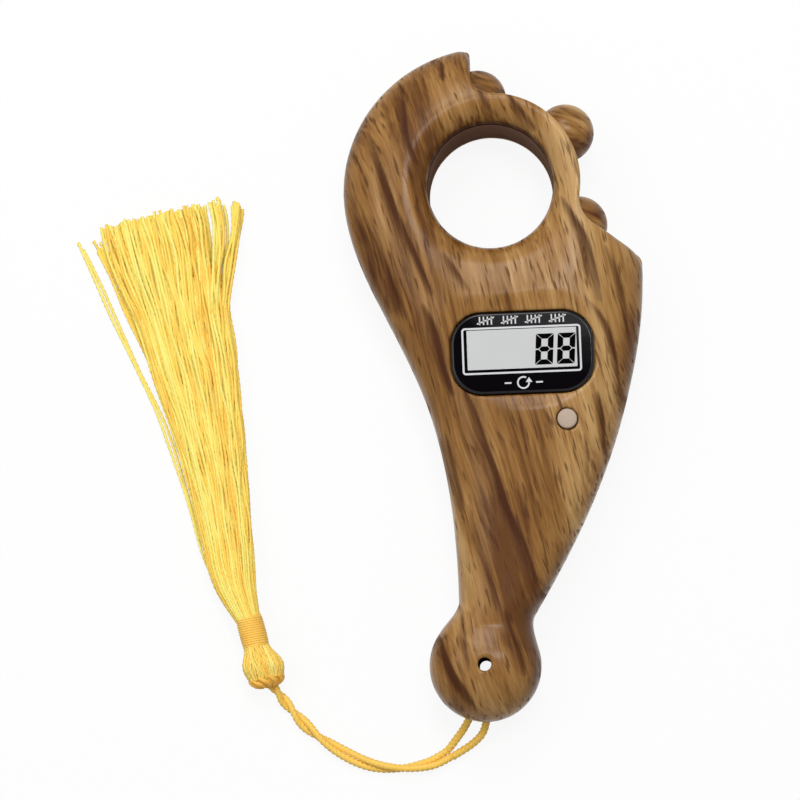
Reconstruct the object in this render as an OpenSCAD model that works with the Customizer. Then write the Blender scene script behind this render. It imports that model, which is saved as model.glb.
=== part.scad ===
// Hand-held bead tally counter: a palm-sized body with a finger hole, a wheel of six
// beads that the thumb turns round the hole, a small number display and a tassel.
// Sizes are in millimetres. The origin is on the finger hole's axis, in the parting
// plane of the two body halves. +X is across the body, +Y points away from the tassel
// end, and +Z points out of the face. The body lies on its flat back.

/* [Finger hole] */
// Radius of the finger hole
bore_r = 10.35; // [9.5:0.05:11]
// Wall of the sleeve that lines the hole and carries the wheel
sleeve_wall = 1.15; // [0.9:0.05:1.5]
// Radius of the rounded mouth on the face
mouth_r = 4; // [3:0.1:4.4]
// Radius of the rounded mouth on the back
back_mouth_r = 1.2; // [0.8:0.1:1.5]

/* [Bead wheel] */
// Wall of the hub ring
hub_wall = 1.65; // [1.4:0.05:2]
// Height of the hub ring
hub_h = 5.2; // [4.6:0.1:5.6]
// Radius of a bead
bead_r = 4.8; // [4.4:0.05:5]
// Distance from the hub's outside to a bead's centre
bead_stand = 2.5; // [2:0.1:3]
// Radius of the peg that holds a bead
peg_r = 1.1; // [0.8:0.05:1.4]
// Angle of the first bead at rest
wheel_turn = 36; // [0:1:59]
// Running clearance between the hub and the sleeve, on the radius
wheel_fit = 0.05; // [0.02:0.01:0.1]
// Room between the beads and the housing
wheel_gap = 0.5; // [0.4:0.05:0.7]

/* [Body] */
// Wall outside the wheel's chamber
head_wall = 3.5; // [3:0.1:4.5]
// Height of the face above the parting plane
front_h = 9; // [8.7:0.1:9.6]
// Depth of the flat back below the parting plane
back_h = 7.5; // [7.3:0.1:8]
// Roundness of the cross-section: 2 is an ellipse, more is squarer
crown_power = 2.5; // [2.2:0.1:3]
// Moulded wall of the handle
wall = 2; // [1.6:0.1:2.4]
// Distance down the handle to the neck
neck_y = 67; // [64:0.5:69]
// Width of the neck to the left of the finger hole's axis
neck_left = 7.7; // [7.2:0.1:8.4]
// Width of the neck to the right of the finger hole's axis
neck_right = 7; // [6.4:0.1:7.6]
// Height of the face at the neck
neck_h = 6.8; // [6.4:0.1:7.4]

/* [Bulb] */
// Radius of the round end
bulb_r = 9.15; // [8.6:0.05:9.6]
// Sideways place of the round end
bulb_x = -3.75; // [-4.2:0.05:-3.3]
// Distance from the finger hole to the round end
bulb_y = 78.7; // [77.5:0.1:80]
// Height of the round end above the parting plane
bulb_h = 8.2; // [7.8:0.1:8.8]
// Radius of the hang hole through the round end
hang_r = 1.08; // [0.9:0.02:1.3]
// Wall round the hang hole, which the cord loops round
hang_wall = 1.3; // [1:0.1:1.6]

/* [Bead window] */
// Width of the ring that stays in front of the hub
window_ring = 1.2; // [0.8:0.1:1.6]
// Place of the window's upright edge
window_x = -2.7; // [-3.4:0.1:-2]
// Fillet where the upright edge meets the ring
window_fillet = 3.5; // [2.5:0.1:4]
// Height of the lower horn's tip, below the finger hole's axis
horn_y = 12.3; // [11:0.1:14]
// Slope of the lower edge, in degrees
horn_slope = 32; // [26:1:36]
// Fillet where the lower edge meets the ring
horn_fillet = 5; // [4:0.1:6]

/* [Display] */
// Width of the black display window
lens_w = 22.8; // [21.6:0.1:23.6]
// Height of the black display window
lens_h = 14; // [13:0.1:14.6]
// Corner radius of the display window
lens_r = 5.2; // [3:0.1:6]
// Thickness of the display window
lens_t = 1.3; // [1:0.1:1.5]
// Sideways place of the display
lens_x = 4.3; // [3.8:0.1:4.8]
// Distance from the finger hole to the display
lens_y = 28.6; // [28.2:0.1:29.4]
// Depth of the seat below the face
lens_drop = 2.1; // [1.8:0.1:2.3]
// Length of the shallow dish round the display
dish_len = 18.4; // [17:0.1:20]
// Depth of the dish
dish_depth = 1.4; // [1:0.1:1.6]
// Width of the display panel
lcd_w = 20.8; // [19.6:0.1:21.6]
// Height of the display panel
lcd_h = 9.4; // [8.6:0.1:9.6]
// Thickness of the display panel
lcd_t = 1.6; // [1.2:0.1:1.8]
// Height of the rubber contact strips
strip_h = 2; // [1.6:0.1:2.2]
// Depth of the rubber contact strips
strip_d = 1.4; // [1:0.1:1.8]
// Thickness of the circuit board
board_t = 1; // [0.8:0.1:1.2]

/* [Reset button] */
// Radius of the button
button_r = 1.6; // [1.3:0.05:1.8]
// Sideways place of the button
button_x = 11.1; // [10.4:0.1:11.8]
// Distance from the finger hole to the button
button_y = 39.5; // [39:0.1:40.5]
// Travel of the button
button_travel = 0.8; // [0.5:0.1:0.9]
// Gap round the button
button_gap = 0.3; // [0.2:0.05:0.4]

/* [Battery] */
// Radius of the button cell
cell_r = 5.8; // [5:0.05:5.9]
// Thickness of the button cell
cell_h = 5.4; // [3.6:0.1:5.5]
// Sideways place of the cell
cell_x = 3.9; // [3.4:0.1:4.4]
// Distance from the finger hole to the cell
cell_y = 46; // [45.6:0.1:46.6]
// Thickness of the battery cover
cover_t = 1.5; // [1.2:0.1:1.6]

/* [Screws] */
// Radius of a screw's shank
screw_r = 0.9; // [0.7:0.05:1]
// Radius of a screw's head
head_screw_r = 1.7; // [1.5:0.05:1.9]
// Height of a screw's head
screw_head_h = 1.2; // [0.9:0.1:1.3]
// Radius of a screw boss in the front half
boss_r = 2; // [1.8:0.1:2.2]
// Depth of the screws' seats below the parting plane
screw_sink = 3.8; // [3.2:0.1:4]

/* [Cord and tassel] */
// Diameter of one strand of the cord
cord_d = 1.25; // [1:0.05:1.3]
// Diameter of the two strands laid together
pair_d = 2.3; // [2:0.05:2.4]
// Radius of the tassel's head
knot_r = 3.45; // [3:0.05:3.5]
// Radius of the binding
binding_r = 2.3; // [2:0.05:2.5]
// Length of the binding
binding_len = 5.2; // [4.4:0.1:6]
// Length of the threads below the binding
skirt_len = 69; // [60:1:75]
// Half width of the threads at their tips
skirt_half = 11.8; // [9:0.1:13]
// Half thickness of the threads at their tips
skirt_thick = 1.5; // [1.2:0.1:1.8]

/* [Hidden] */
$fn = 48;

// Small clearances
touch = 0.02;
seat = 0.05;
room = 0.15;
over = 1;

// The wheel, from the finger hole outwards
bead_count = 6;
sleeve_r = bore_r + sleeve_wall;
hub_in = sleeve_r + wheel_fit;
hub_r = hub_in + hub_wall;
wheel_r = hub_r + bead_stand;
race_r = bead_r + wheel_gap;
chamber_r = wheel_r + race_r;
head_r = chamber_r + head_wall;
peg_len = bead_stand + 1.6;
collar_r = sleeve_r + 0.6;
collar_top = -hub_h / 2 - room;
lip_out = hub_in + 1.15;
lip_z = hub_h / 2 + 0.8;
notch_r = 0.7;

// The outline of the handle, as rows of place, left edge and its slope, right edge and
// its slope. The edges run as smooth curves from row to row.
flank_rows = [
    [0, -head_r, 0, head_r, 0],
    [-18, 5.05 - head_r, -0.47, head_r - 0.05, 0.06],
    [-38, -11.1, -0.28, 20.5, 0.3],
    [-neck_y, -neck_left, 0, neck_right, 0.62]
];
bulb_at = [bulb_x, -bulb_y];
bulb_blend = 4;
back_crown = back_h + 1.1;
taper_from = -30;

function smooth_max(a, b, k) = max(a, b) + pow(max(k - abs(a - b), 0), 2) / (4 * k);
function hermite(t, a, ma, b, mb, d) =
    (2 * t * t * t - 3 * t * t + 1) * a + (t * t * t - 2 * t * t + t) * d * ma
    + (3 * t * t - 2 * t * t * t) * b + (t * t * t - t * t) * d * mb;
function flank_row(y) = y > flank_rows[1][0] ? 0 : y > flank_rows[2][0] ? 1 : 2;
function flank_between(y, c, a, b) =
    y < b[0] ? b[c] + (y - b[0]) * b[c + 1]
    : hermite((y - a[0]) / (b[0] - a[0]), a[c], a[c + 1], b[c], b[c + 1], b[0] - a[0]);
function flank(y, c) = flank_between(y, c, flank_rows[flank_row(y)], flank_rows[flank_row(y) + 1]);
function round_half(y, r) = sqrt(max(0, r * r - y * y));
function bulb_half(y) = round_half(y + bulb_y, bulb_r);
function left(y) =
    y >= 0 ? -round_half(y, head_r)
    : y <= -bulb_y ? bulb_x - bulb_half(y)
    : bulb_x - smooth_max(bulb_x - flank(y, 1), bulb_half(y), bulb_blend);
function right(y) =
    y >= 0 ? round_half(y, head_r)
    : y <= -bulb_y ? bulb_x + bulb_half(y)
    : bulb_x + smooth_max(flank(y, 3) - bulb_x, bulb_half(y), bulb_blend);
function middle(y) = (left(y) + right(y)) / 2;
function half_width(y) = (right(y) - left(y)) / 2;
function ease(t) = t <= 0 ? 0 : t >= 1 ? 1 : t * t * (3 - 2 * t);
function handle_h(y, top, low) = top + (low - top) * ease((y - taper_from) / (-neck_y - taper_from));
function crown(y, top, low, end) =
    y >= 0 ? top * pow(1 - pow(y / head_r, crown_power), 1 / crown_power)
    : y <= -bulb_y ? end * bulb_half(y) / bulb_r
    : max(handle_h(y, top, low), end * bulb_half(y) / bulb_r);
function dome(r) = front_h * pow(1 - pow(r / head_r, crown_power), 1 / crown_power);

// Half of a rounded cross-section, from its left edge over the top to its right edge
function arch_x(c, w, a) = c - w * sign(cos(a)) * pow(abs(cos(a)), 2 / crown_power);
function arch(c, y, w, h, steps) = [for (j = [0 : steps])
    [arch_x(c, w, 180 * j / steps), y, h * pow(abs(sin(180 * j / steps)), 2 / crown_power)]];

// A closed skin over a row of rings, each with the same number of points
module loft(rings) {
    k = len(rings);
    p = len(rings[0]);
    sides = [for (i = [0 : k - 2]) for (j = [0 : p - 1]) for (f = [0, 1])
        f == 0 ? [i * p + j, i * p + (j + 1) % p, (i + 1) * p + (j + 1) % p]
            : [i * p + j, (i + 1) * p + (j + 1) % p, (i + 1) * p + j]];
    first = [for (j = [1 : p - 2]) [0, j + 1, j]];
    last = [for (j = [1 : p - 2]) [(k - 1) * p, (k - 1) * p + j, (k - 1) * p + j + 1]];
    polyhedron(points = [for (r = rings) for (q = r) q], faces = concat(sides, first, last));
}

// The solid half body above the parting plane
arch_steps = 16;
body_y = concat(
    [for (a = [6, 14, 24, 35, 47, 60, 74]) head_r * cos(a)],
    [for (i = [0 : 13]) -i * neck_y / 13],
    [for (i = [1 : 5]) -neck_y - i * (bulb_y - neck_y) / 6],
    [for (a = [0, 18, 35, 50, 63, 74, 84]) -bulb_y - bulb_r * sin(a)]);
module half_body(top, low, end) {
    loft([for (y = body_y) arch(middle(y), y, half_width(y), crown(y, top, low, end), arch_steps)]);
}

// The hollow of the handle, which reaches a little past the parting plane
cavity_top = -chamber_r - wall;
cavity_end = -neck_y + 1.5;
ledge = front_h - lens_drop - 1.5;
cavity_steps = 10;
cavity_arches = 9;
floor_t = 0.7;
back_floor = back_h - cover_t - floor_t;
function cavity_ring(y, h) = concat(
    [[left(y) + wall, y, -over]],
    arch(middle(y), y, half_width(y) - wall, h, cavity_steps),
    [[right(y) - wall, y, -over]]);
module half_cavity(top, low) {
    ys = [for (i = [0 : cavity_arches]) cavity_top + (cavity_end - cavity_top) * i / cavity_arches];
    loft([for (y = ys) cavity_ring(y, handle_h(y, top, low))]);
}

// The ring-shaped hollow inside the round end
bulb_in = bulb_r - 2.7;
bulb_room = 4.6;
hang_boss = hang_r + hang_wall;
module half_bulb_hollow() {
    translate([bulb_x, -bulb_y, -over])
        difference() {
            cylinder(r = bulb_in, h = bulb_room + over);
            translate([0, 0, -over])
                cylinder(r = hang_boss, h = bulb_room + 3 * over);
        }
}

// The race in which the beads run, a ring with a round rim
module half_race() {
    translate([0, 0, -over])
        cylinder(r = wheel_r, h = race_r + over);
    rotate_extrude()
        translate([wheel_r, 0])
            circle(r = race_r);
}

// The finger hole with its rounded mouth on the face
mouth_z = dome(bore_r + mouth_r) - mouth_r + 0.12;
module front_mouth() {
    mouth = [for (a = [0 : 7.5 : 90]) [bore_r + mouth_r * (1 - cos(a)), mouth_z + mouth_r * sin(a)]];
    rotate_extrude()
        polygon(concat([[0, lip_z - over], [bore_r, lip_z - over]], mouth,
            [[bore_r + mouth_r, front_h + over], [0, front_h + over]]));
}
module back_mouth() {
    turn = [for (a = [0 : 15 : 90])
        [bore_r + back_mouth_r * (1 - cos(a)), -back_h + back_mouth_r * (1 - sin(a))]];
    rotate_extrude()
        polygon(concat([[0, -lip_z], [bore_r, -lip_z]], turn,
            [[bore_r + back_mouth_r, -back_h - over], [0, -back_h - over]]));
}

// The window through which the thumb reaches the beads: an upright edge, the ring in
// front of the hub, and the sloping edge of the lower horn, joined by fillets
ring_r = hub_r + window_ring;
far = 2 * head_r;
function around(c, r, a, b, n) = [for (i = [0 : n])
    let (t = a + (b - a) * i / n) c + r * [cos(t), sin(t)]];
upper_c = [window_x + window_fillet,
    sqrt(pow(ring_r + window_fillet, 2) - pow(window_x + window_fillet, 2))];
upper_a = atan2(upper_c[1], upper_c[0]);
slope_e = [cos(horn_slope), -sin(horn_slope)];
slope_n = [sin(horn_slope), cos(horn_slope)];
slope_q = [head_r + 0.2, -horn_y] + horn_fillet * slope_n;
slope_d = slope_q * slope_e;
slope_t = -slope_d + sqrt(slope_d * slope_d - slope_q * slope_q + pow(ring_r + horn_fillet, 2));
lower_c = slope_q + slope_t * slope_e;
lower_a = atan2(lower_c[1], lower_c[0]);
module window() {
    translate([0, 0, -far])
        linear_extrude(2 * far)
            polygon(concat([[far, far], [window_x, far]],
                around(upper_c, window_fillet, 180, 180 + upper_a, 8),
                around([0, 0], ring_r, upper_a, lower_a, 24),
                around(lower_c, horn_fillet, 180 + lower_a, 270 - horn_slope, 8),
                [slope_q - horn_fillet * slope_n + far * slope_e]));
}

// Screws hold the halves together, two below the head and one at the neck
boss_y = -27;
boss_low_y = 4 - neck_y;
back_boss_r = head_screw_r + room + 0.9;
back_boss_z = -back_floor - 0.3;
boss_in = wall + back_boss_r + 0.2;
shell_screw_at = [
    [left(boss_y) + boss_in, boss_y],
    [right(boss_y) - boss_in, boss_y],
    [middle(boss_low_y), boss_low_y]
];
screw_depth = 5;
screw_seat = -screw_sink - screw_head_h;
module at(points) {
    for (p = points)
        translate([p[0], p[1], 0])
            children();
}
module shell_screw() {
    translate([0, 0, screw_seat])
        cylinder(r = head_screw_r, h = screw_head_h);
    translate([0, 0, screw_seat])
        cylinder(r = screw_r, h = screw_depth - seat - screw_seat);
}

// The display stack, from its seat in the face down to the circuit board
lens_floor = front_h - lens_drop;
lcd_y = -lens_y + 0.75;
lcd_top = lens_floor - seat;
lcd_bottom = lcd_top - lcd_t;
board_top = lcd_bottom - strip_h;
board_bottom = board_top - board_t;
module rounded(w, h, r) {
    translate([-w / 2 + r, -h / 2])
        square([w - 2 * r, h]);
    translate([-w / 2, -h / 2 + r])
        square([w, h - 2 * r]);
    for (x = [-1, 1], y = [-1, 1])
        translate([x * (w / 2 - r), y * (h / 2 - r)])
            circle(r = r);
}
module display_dish() {
    dish_r = (pow(dish_len / 2, 2) + pow(dish_depth, 2)) / (2 * dish_depth);
    translate([lens_x - head_r, 0.2 - lens_y, front_h - dish_depth + dish_r])
        rotate([0, 90, 0])
            cylinder(r = dish_r, h = 2 * head_r, $fn = 96);
}

// The circuit board keeps clear of the screw bosses and of the tapering walls
board_gap = 0.5;
board_inset = wall + 3;
board_y = [cavity_top - 0.3, -32, -38, -46, -cell_y - cell_r - 1.2];
function board_left(y) = max(shell_screw_at[0][0] + boss_r + board_gap, left(y) + board_inset);
function board_right(y) = min(shell_screw_at[1][0] - boss_r - board_gap, right(y) - board_inset);
board_screw_drop = 10;
board_screw_in = 2.6;
board_low_up = 1.9;
board_low_in = 3;
board_screw_at = [
    [board_left(-lens_y - board_screw_drop) + board_screw_in, -lens_y - board_screw_drop],
    [board_right(board_y[4] + board_low_up) - board_low_in, board_y[4] + board_low_up]
];
board_screw_r = 0.8;
board_head_r = 1.5;
board_head_h = 0.9;
board_boss_r = 1.9;

// The button's hole, flange and place on the face
button_at = [button_x, -button_y];
button_face = front_h - 0.85;
flange_r = button_r + 1;
flange_t = 0.8;
dome_h = 0.35;
flange_top = board_top + dome_h + seat + button_travel + flange_t;
button_pocket = flange_top + 0.35;

// The cell lies in the back under a cover with one screw
cell_at = [cell_x, -cell_y];
cover_r = cell_r + 1.4;
tab_r = 3.2;
tab_at = [cell_x - 0.8, -cell_y - cover_r - 2.4];
cover_top = -back_h + cover_t;
cell_bottom = cover_top + seat;
cap_h = 0.4;
cap_r = cell_r - 1.4;
cell_top = cell_bottom + cell_h;
module cover_plan(grow) {
    translate(cell_at)
        circle(r = cover_r + grow);
    translate(tab_at)
        circle(r = tab_r + grow);
    translate([tab_at[0] - tab_r - grow, tab_at[1]])
        square([2 * (tab_r + grow), cell_at[1] - tab_at[1]]);
}

// Two spring strips run from under the hub, through a slot, to the circuit board
strip_floor = -race_r + seat;
strip_t = 0.2;
strip_w = 2.6;
spring_x = 0;
contact_x = spring_x + strip_w + 0.9;
riser_y = cavity_top - 3.6;
strip_room = max(strip_t + 0.5, race_r - back_floor + 0.5);
click_in = -collar_r - 0.2;
click_out = -hub_r + 0.1;
bump_r = 0.5;
bump_z = -hub_h / 2 - 0.15;
click_top = bump_z - bump_r + 0.1;

// The cord is doubled: a loop passes round the hang hole's wall inside the round end and
// leaves by two holes, and beyond the join its two legs are laid together as far as the
// tassel. Points are x, y, z.
exit_z = -3;
cord_hole_r = cord_d / 2 + 0.3;
exit_left_x = -6.8;
exit_right_x = -3.9;
loop_r = hang_boss + cord_d / 2 + 0.1;
leg_left = [[-10.5, -92, -6.2], [-9, -90.2, -5.2], [-7.6, -88.4, -3.8], [-6.8, -86.6, -3.1],
    [-6.8, -83, -3]];
leg_right = [[-1.4, -82, -3], [-3.8, -85, -3], [-4, -87.4, -3.2], [-4.8, -89.6, -4.4], [-6.8, -91.4, -5.6],
    [-9.9, -93.2, -6.2]];
pair_route = [[-10.2, -92.6, -6.2], [-13.6, -94.2, -6.3], [-18.6, -94.8, -6.3], [-23.6, -94, -6.3],
    [-28.4, -91.6, -6.3], [-33.2, -88, -6.3], [-37, -83.6, -6.2], [-39.4, -80.2, -5]];
strand_sides = 8;

// A smooth curve through the route's points
function spline(p0, p1, p2, p3, t) =
    0.5 * (2 * p1 + (p2 - p0) * t + (2 * p0 - 5 * p1 + 4 * p2 - p3) * t * t
    + (3 * p1 - p0 - 3 * p2 + p3) * t * t * t);
function point_at(p, i) = p[max(0, min(len(p) - 1, i))];
function smooth_path(p, n) = concat(
    [for (i = [0 : len(p) - 2]) for (s = [0 : n - 1])
        spline(point_at(p, i - 1), p[i], p[i + 1], point_at(p, i + 2), s / n)],
    [p[len(p) - 1]]);
function heading(p, i) = unit(point_at(p, i + 1) - point_at(p, i - 1));
function unit(v) = v / norm(v);
loop_turn = [for (a = [180 : -30 : 0]) [bulb_x + loop_r * cos(a), -bulb_y + loop_r * sin(a), exit_z]];
loop_path = smooth_path(concat(leg_left, loop_turn, leg_right), 2);
pair_path = smooth_path(pair_route, 3);
function tube_up(d) = abs(d[2]) > 0.8 ? [1, 0, 0] : [0, 0, 1];
function tube_ring(c, d, r, n) = [for (j = [0 : n - 1])
    c + r * (cos(360 * (j + 0.5) / n) * unit(cross(tube_up(d), d))
    - sin(360 * (j + 0.5) / n) * cross(d, unit(cross(tube_up(d), d))))];
module tube(path, r, n) {
    loft([for (i = [0 : len(path) - 1]) tube_ring(path[i], heading(path, i), r, n)]);
}

// The tassel's head and binding lie along one line on the surface
tassel_turn = 100;
tassel_at = [-40.8, -77.4, knot_r - back_h];
tassel_dir = [cos(tassel_turn), sin(tassel_turn), 0];
knot_end = 3.4;
knot_neck = 2;
binding_from = knot_end;
binding_to = binding_from + binding_len;
module along_tassel() {
    translate(tassel_at)
        rotate([0, 0, tassel_turn])
            rotate([0, 90, 0])
                children();
}

// The tassel's threads: a grid of strands fused to a slice at the binding, which spreads
// and flattens towards the tips. Each station is centre, half width and half thickness.
skirt_cols = 34;
skirt_rows = 9;
skirt_slice = 0.8;
skirt_root_r = binding_r - 0.2;
skirt_mid = 0.37;
skirt_across = [sin(tassel_turn), -cos(tassel_turn), 0];
skirt_start = tassel_at + binding_to * tassel_dir;
function skirt_stations() = [
    [skirt_start, skirt_root_r, skirt_root_r, 1],
    [skirt_start + skirt_slice * tassel_dir, skirt_root_r, skirt_root_r, 1],
    [skirt_centre(skirt_mid, -2.1, 1.9), 5.6, 1.9, 0.85],
    [skirt_centre(1, -0.7, skirt_thick), skirt_half, skirt_thick, 0.8]
];
function skirt_centre(t, aside, thick) =
    let (c = skirt_start + t * skirt_len * tassel_dir + aside * skirt_across)
    [c[0], c[1], thick + 0.05 - back_h];
// A square grid turned into a disc, so that the strands fill a round bundle
function disc(u, v) = [u * sqrt(1 - v * v / 2), v * sqrt(1 - u * u / 2)];
function grid_u(i) = 2 * i / skirt_cols - 1;
function grid_v(j) = 2 * j / skirt_rows - 1;
function skirt_place(s, d) = s[0] + d[0] * s[1] * skirt_across + [0, 0, d[1] * s[2]];
// Corner k of strand i, j at a station, drawn in towards the strand's middle
function strand_corner(s, i, j, k) =
    let (d = disc(grid_u(i + [0, 1, 1, 0][k]), grid_v(j + [0, 0, 1, 1][k])),
        m = disc(grid_u(i + 0.5), grid_v(j + 0.5)))
    m + (d - m) * s[3];
function ragged(i, j) = 1.3 * sin(97 * i + 211 * j) - 2.2 * pow(grid_u(i) - 0.5, 2);
// A strand runs straight on past the middle station, a little longer or shorter than the rest
function strand_end(mid, end, extra) = mid + (end - mid) * (1 + extra / (skirt_len * (1 - skirt_mid)));
function grid_at(i, j) = i * (skirt_rows + 1) + j;
module skirt() {
    st = skirt_stations();
    n = (skirt_cols + 1) * (skirt_rows + 1);
    base = [for (s = [st[0], st[1]]) for (i = [0 : skirt_cols]) for (j = [0 : skirt_rows])
        skirt_place(s, disc(grid_u(i), grid_v(j)))];
    cells = [for (i = [0 : skirt_cols - 1]) for (j = [0 : skirt_rows - 1]) [i, j]];
    free = [for (c = cells) for (s = [2, 3]) for (k = [0 : 3])
        let (mid = skirt_place(st[2], strand_corner(st[2], c[0], c[1], k)),
            end = skirt_place(st[3], strand_corner(st[3], c[0], c[1], k)))
        s == 2 ? mid : strand_end(mid, end, ragged(c[0], c[1]))];
    function root(c, k) = grid_at(c[0] + [0, 1, 1, 0][k], c[1] + [0, 0, 1, 1][k]);
    function tip(q, s, k) = 2 * n + q * 8 + s * 4 + k % 4;
    function wall_of(a, b, c, d) = [[a, b, c], [a, c, d]];
    // Walls that face each other are split along the same line, so that they never cross
    function side_of(k, a, b, c, d) = k < 2 ? wall_of(a, b, c, d) : [[a, b, d], [b, c, d]];
    under = [for (c = cells) for (f = wall_of(root(c, 3), root(c, 2), root(c, 1), root(c, 0))) f];
    rim = concat(
        [for (i = [0 : skirt_cols - 1]) for (f = concat(
            wall_of(grid_at(i, 0), grid_at(i + 1, 0), n + grid_at(i + 1, 0), n + grid_at(i, 0)),
            wall_of(grid_at(i + 1, skirt_rows), grid_at(i, skirt_rows),
                n + grid_at(i, skirt_rows), n + grid_at(i + 1, skirt_rows)))) f],
        [for (j = [0 : skirt_rows - 1]) for (f = concat(
            wall_of(grid_at(0, j + 1), grid_at(0, j), n + grid_at(0, j), n + grid_at(0, j + 1)),
            wall_of(grid_at(skirt_cols, j), grid_at(skirt_cols, j + 1),
                n + grid_at(skirt_cols, j + 1), n + grid_at(skirt_cols, j)))) f]);
    strands = [for (q = [0 : len(cells) - 1]) for (k = [0 : 3]) for (f = concat(
        side_of(k, n + root(cells[q], k), n + root(cells[q], (k + 1) % 4), tip(q, 0, k + 1), tip(q, 0, k)),
        side_of(k, tip(q, 0, k), tip(q, 0, k + 1), tip(q, 1, k + 1), tip(q, 1, k)))) f];
    ends = [for (q = [0 : len(cells) - 1])
        for (f = wall_of(tip(q, 1, 0), tip(q, 1, 1), tip(q, 1, 2), tip(q, 1, 3))) f];
    polyhedron(points = concat(base, free), faces = concat(under, rim, strands, ends));
}

module front_shell() {
    color("peru")
        difference() {
            union() {
                difference() {
                    half_body(front_h, neck_h, bulb_h);
                    half_race();
                    half_cavity(ledge, neck_h - wall);
                    half_bulb_hollow();
                }
                translate([0, 0, lip_z])
                    cylinder(r = lip_out, h = race_r - lip_z + over / 2);
                at(shell_screw_at)
                    cylinder(r = boss_r, h = screw_depth + 0.6);
                at(board_screw_at)
                    translate([0, 0, board_top])
                        cylinder(r = board_boss_r, h = ledge - board_top + over / 2);
            }
            translate([0, 0, -over])
                cylinder(r = sleeve_r + seat, h = mouth_z + over);
            front_mouth();
            window();
            display_dish();
            translate([lens_x, -lens_y, lens_floor])
                linear_extrude(front_h)
                    rounded(lens_w + 2 * room, lens_h + 2 * room, lens_r + room);
            translate([lens_x - lcd_w / 2 - room, lcd_y - lcd_h / 2 - room, 0])
                cube([lcd_w + 2 * room, lcd_h + 2 * room, front_h]);
            at([button_at])
                cylinder(r = button_r + button_gap, h = front_h + over);
            at([button_at])
                cylinder(r = flange_r + 2 * button_gap, h = button_pocket);
            at(shell_screw_at)
                translate([0, 0, -over])
                    cylinder(r = screw_r + touch, h = screw_depth + over);
            at(board_screw_at)
                cylinder(r = board_screw_r + touch, h = ledge + 0.9);
            at([bulb_at])
                translate([0, 0, -over])
                    cylinder(r = hang_r, h = front_h + 2 * over);
        }
}

module back_shell() {
    color("peru")
        difference() {
            union() {
                difference() {
                    mirror([0, 0, 1])
                        half_body(back_crown, back_crown, back_crown);
                    mirror([0, 0, 1]) {
                        half_race();
                        intersection() {
                            half_cavity(back_floor + over, back_floor + over);
                            translate([-head_r, -bulb_y, -over])
                                cube([2 * head_r, bulb_y, back_floor + over]);
                        }
                        half_bulb_hollow();
                    }
                }
                at(shell_screw_at)
                    translate([0, 0, back_boss_z])
                        cylinder(r = back_boss_r, h = -back_boss_z - seat);
                at([tab_at])
                    translate([0, 0, -back_h])
                        cylinder(r = boss_r, h = back_h - 2);
            }
            translate([-far, -2 * far, -far - back_h])
                cube([2 * far, 3 * far, far]);
            translate([0, 0, -race_r - over])
                cylinder(r = sleeve_r + seat, h = race_r + 2 * over);
            back_mouth();
            window();
            translate([0, 0, -far])
                linear_extrude(far - back_h + cover_t)
                    cover_plan(room);
            at([cell_at])
                translate([0, 0, -back_h])
                    cylinder(r = cell_r + room, h = back_h);
            at([tab_at])
                translate([0, 0, -back_h])
                    cylinder(r = screw_r + touch, h = back_h);
            at(shell_screw_at)
                translate([0, 0, -back_h - over])
                    cylinder(r = head_screw_r + room, h = over + back_h - screw_sink);
            at(shell_screw_at)
                translate([0, 0, -back_h])
                    cylinder(r = screw_r + room, h = back_h + over);
            at([bulb_at])
                translate([0, 0, -back_h - over])
                    cylinder(r = hang_r, h = back_h + 2 * over);
            translate([spring_x - strip_w / 2 - 0.3, riser_y, -race_r])
                cube([contact_x + strip_w - spring_x + 0.6, -riser_y - wheel_r, strip_room]);
            for (x = [exit_left_x, exit_right_x])
                translate([x, -bulb_y - bulb_in / 2, exit_z])
                    rotate([90, 0, 0])
                        cylinder(r = cord_hole_r, h = bulb_r);
        }
}

module finger_sleeve() {
    bottom = -race_r - over + seat;
    color("dimgray")
        difference() {
            union() {
                translate([0, 0, bottom])
                    cylinder(r = sleeve_r, h = mouth_z - seat - bottom);
                translate([0, 0, -race_r + seat])
                    cylinder(r = collar_r, h = collar_top + race_r - seat);
            }
            translate([0, 0, bottom - over])
                cylinder(r = bore_r, h = mouth_z - bottom + 2 * over);
        }
}

module wheel_hub() {
    color("saddlebrown")
        difference() {
            union() {
                cylinder(r = hub_r, h = hub_h, center = true);
                for (i = [0 : bead_count - 1])
                    rotate([0, 90, wheel_turn + i * 360 / bead_count])
                        translate([0, 0, hub_r - hub_wall / 2])
                            cylinder(r = peg_r, h = peg_len + hub_wall / 2);
            }
            cylinder(r = hub_in, h = hub_h + 2 * over, center = true);
            for (i = [0 : bead_count - 1])
                rotate([0, 90, 270 + i * 360 / bead_count])
                    translate([hub_h / 2, 0, hub_in - over])
                        cylinder(r = notch_r, h = hub_wall + 2 * over);
        }
}

// Half of a bead's round outline, from its flat seat on the hub to its far end
function bead_arc() = let (from = acos((bead_stand - touch) / bead_r), steps = 16)
    [for (k = [0 : steps - 1])
        let (a = from + (180 - from) * k / steps) [bead_r * sin(a), -bead_r * cos(a)]];
module bead(i) {
    color("sienna")
        rotate([0, 0, wheel_turn + i * 360 / bead_count])
            rotate([0, 90, 0])
                translate([0, 0, wheel_r])
                    difference() {
                        rotate_extrude()
                            polygon(concat([[0, touch - bead_stand]], bead_arc(), [[0, bead_r]]));
                        translate([0, 0, -bead_r])
                            cylinder(r = peg_r + touch, h = bead_r - bead_stand + peg_len + room);
                    }
}

module display_lens() {
    color("black")
        translate([lens_x, -lens_y, lens_floor + touch])
            linear_extrude(lens_t)
                rounded(lens_w, lens_h, lens_r);
}

module display_panel() {
    color("lightgray")
        translate([lens_x - lcd_w / 2, lcd_y - lcd_h / 2, lcd_bottom])
            cube([lcd_w, lcd_h, lcd_t]);
}

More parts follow.
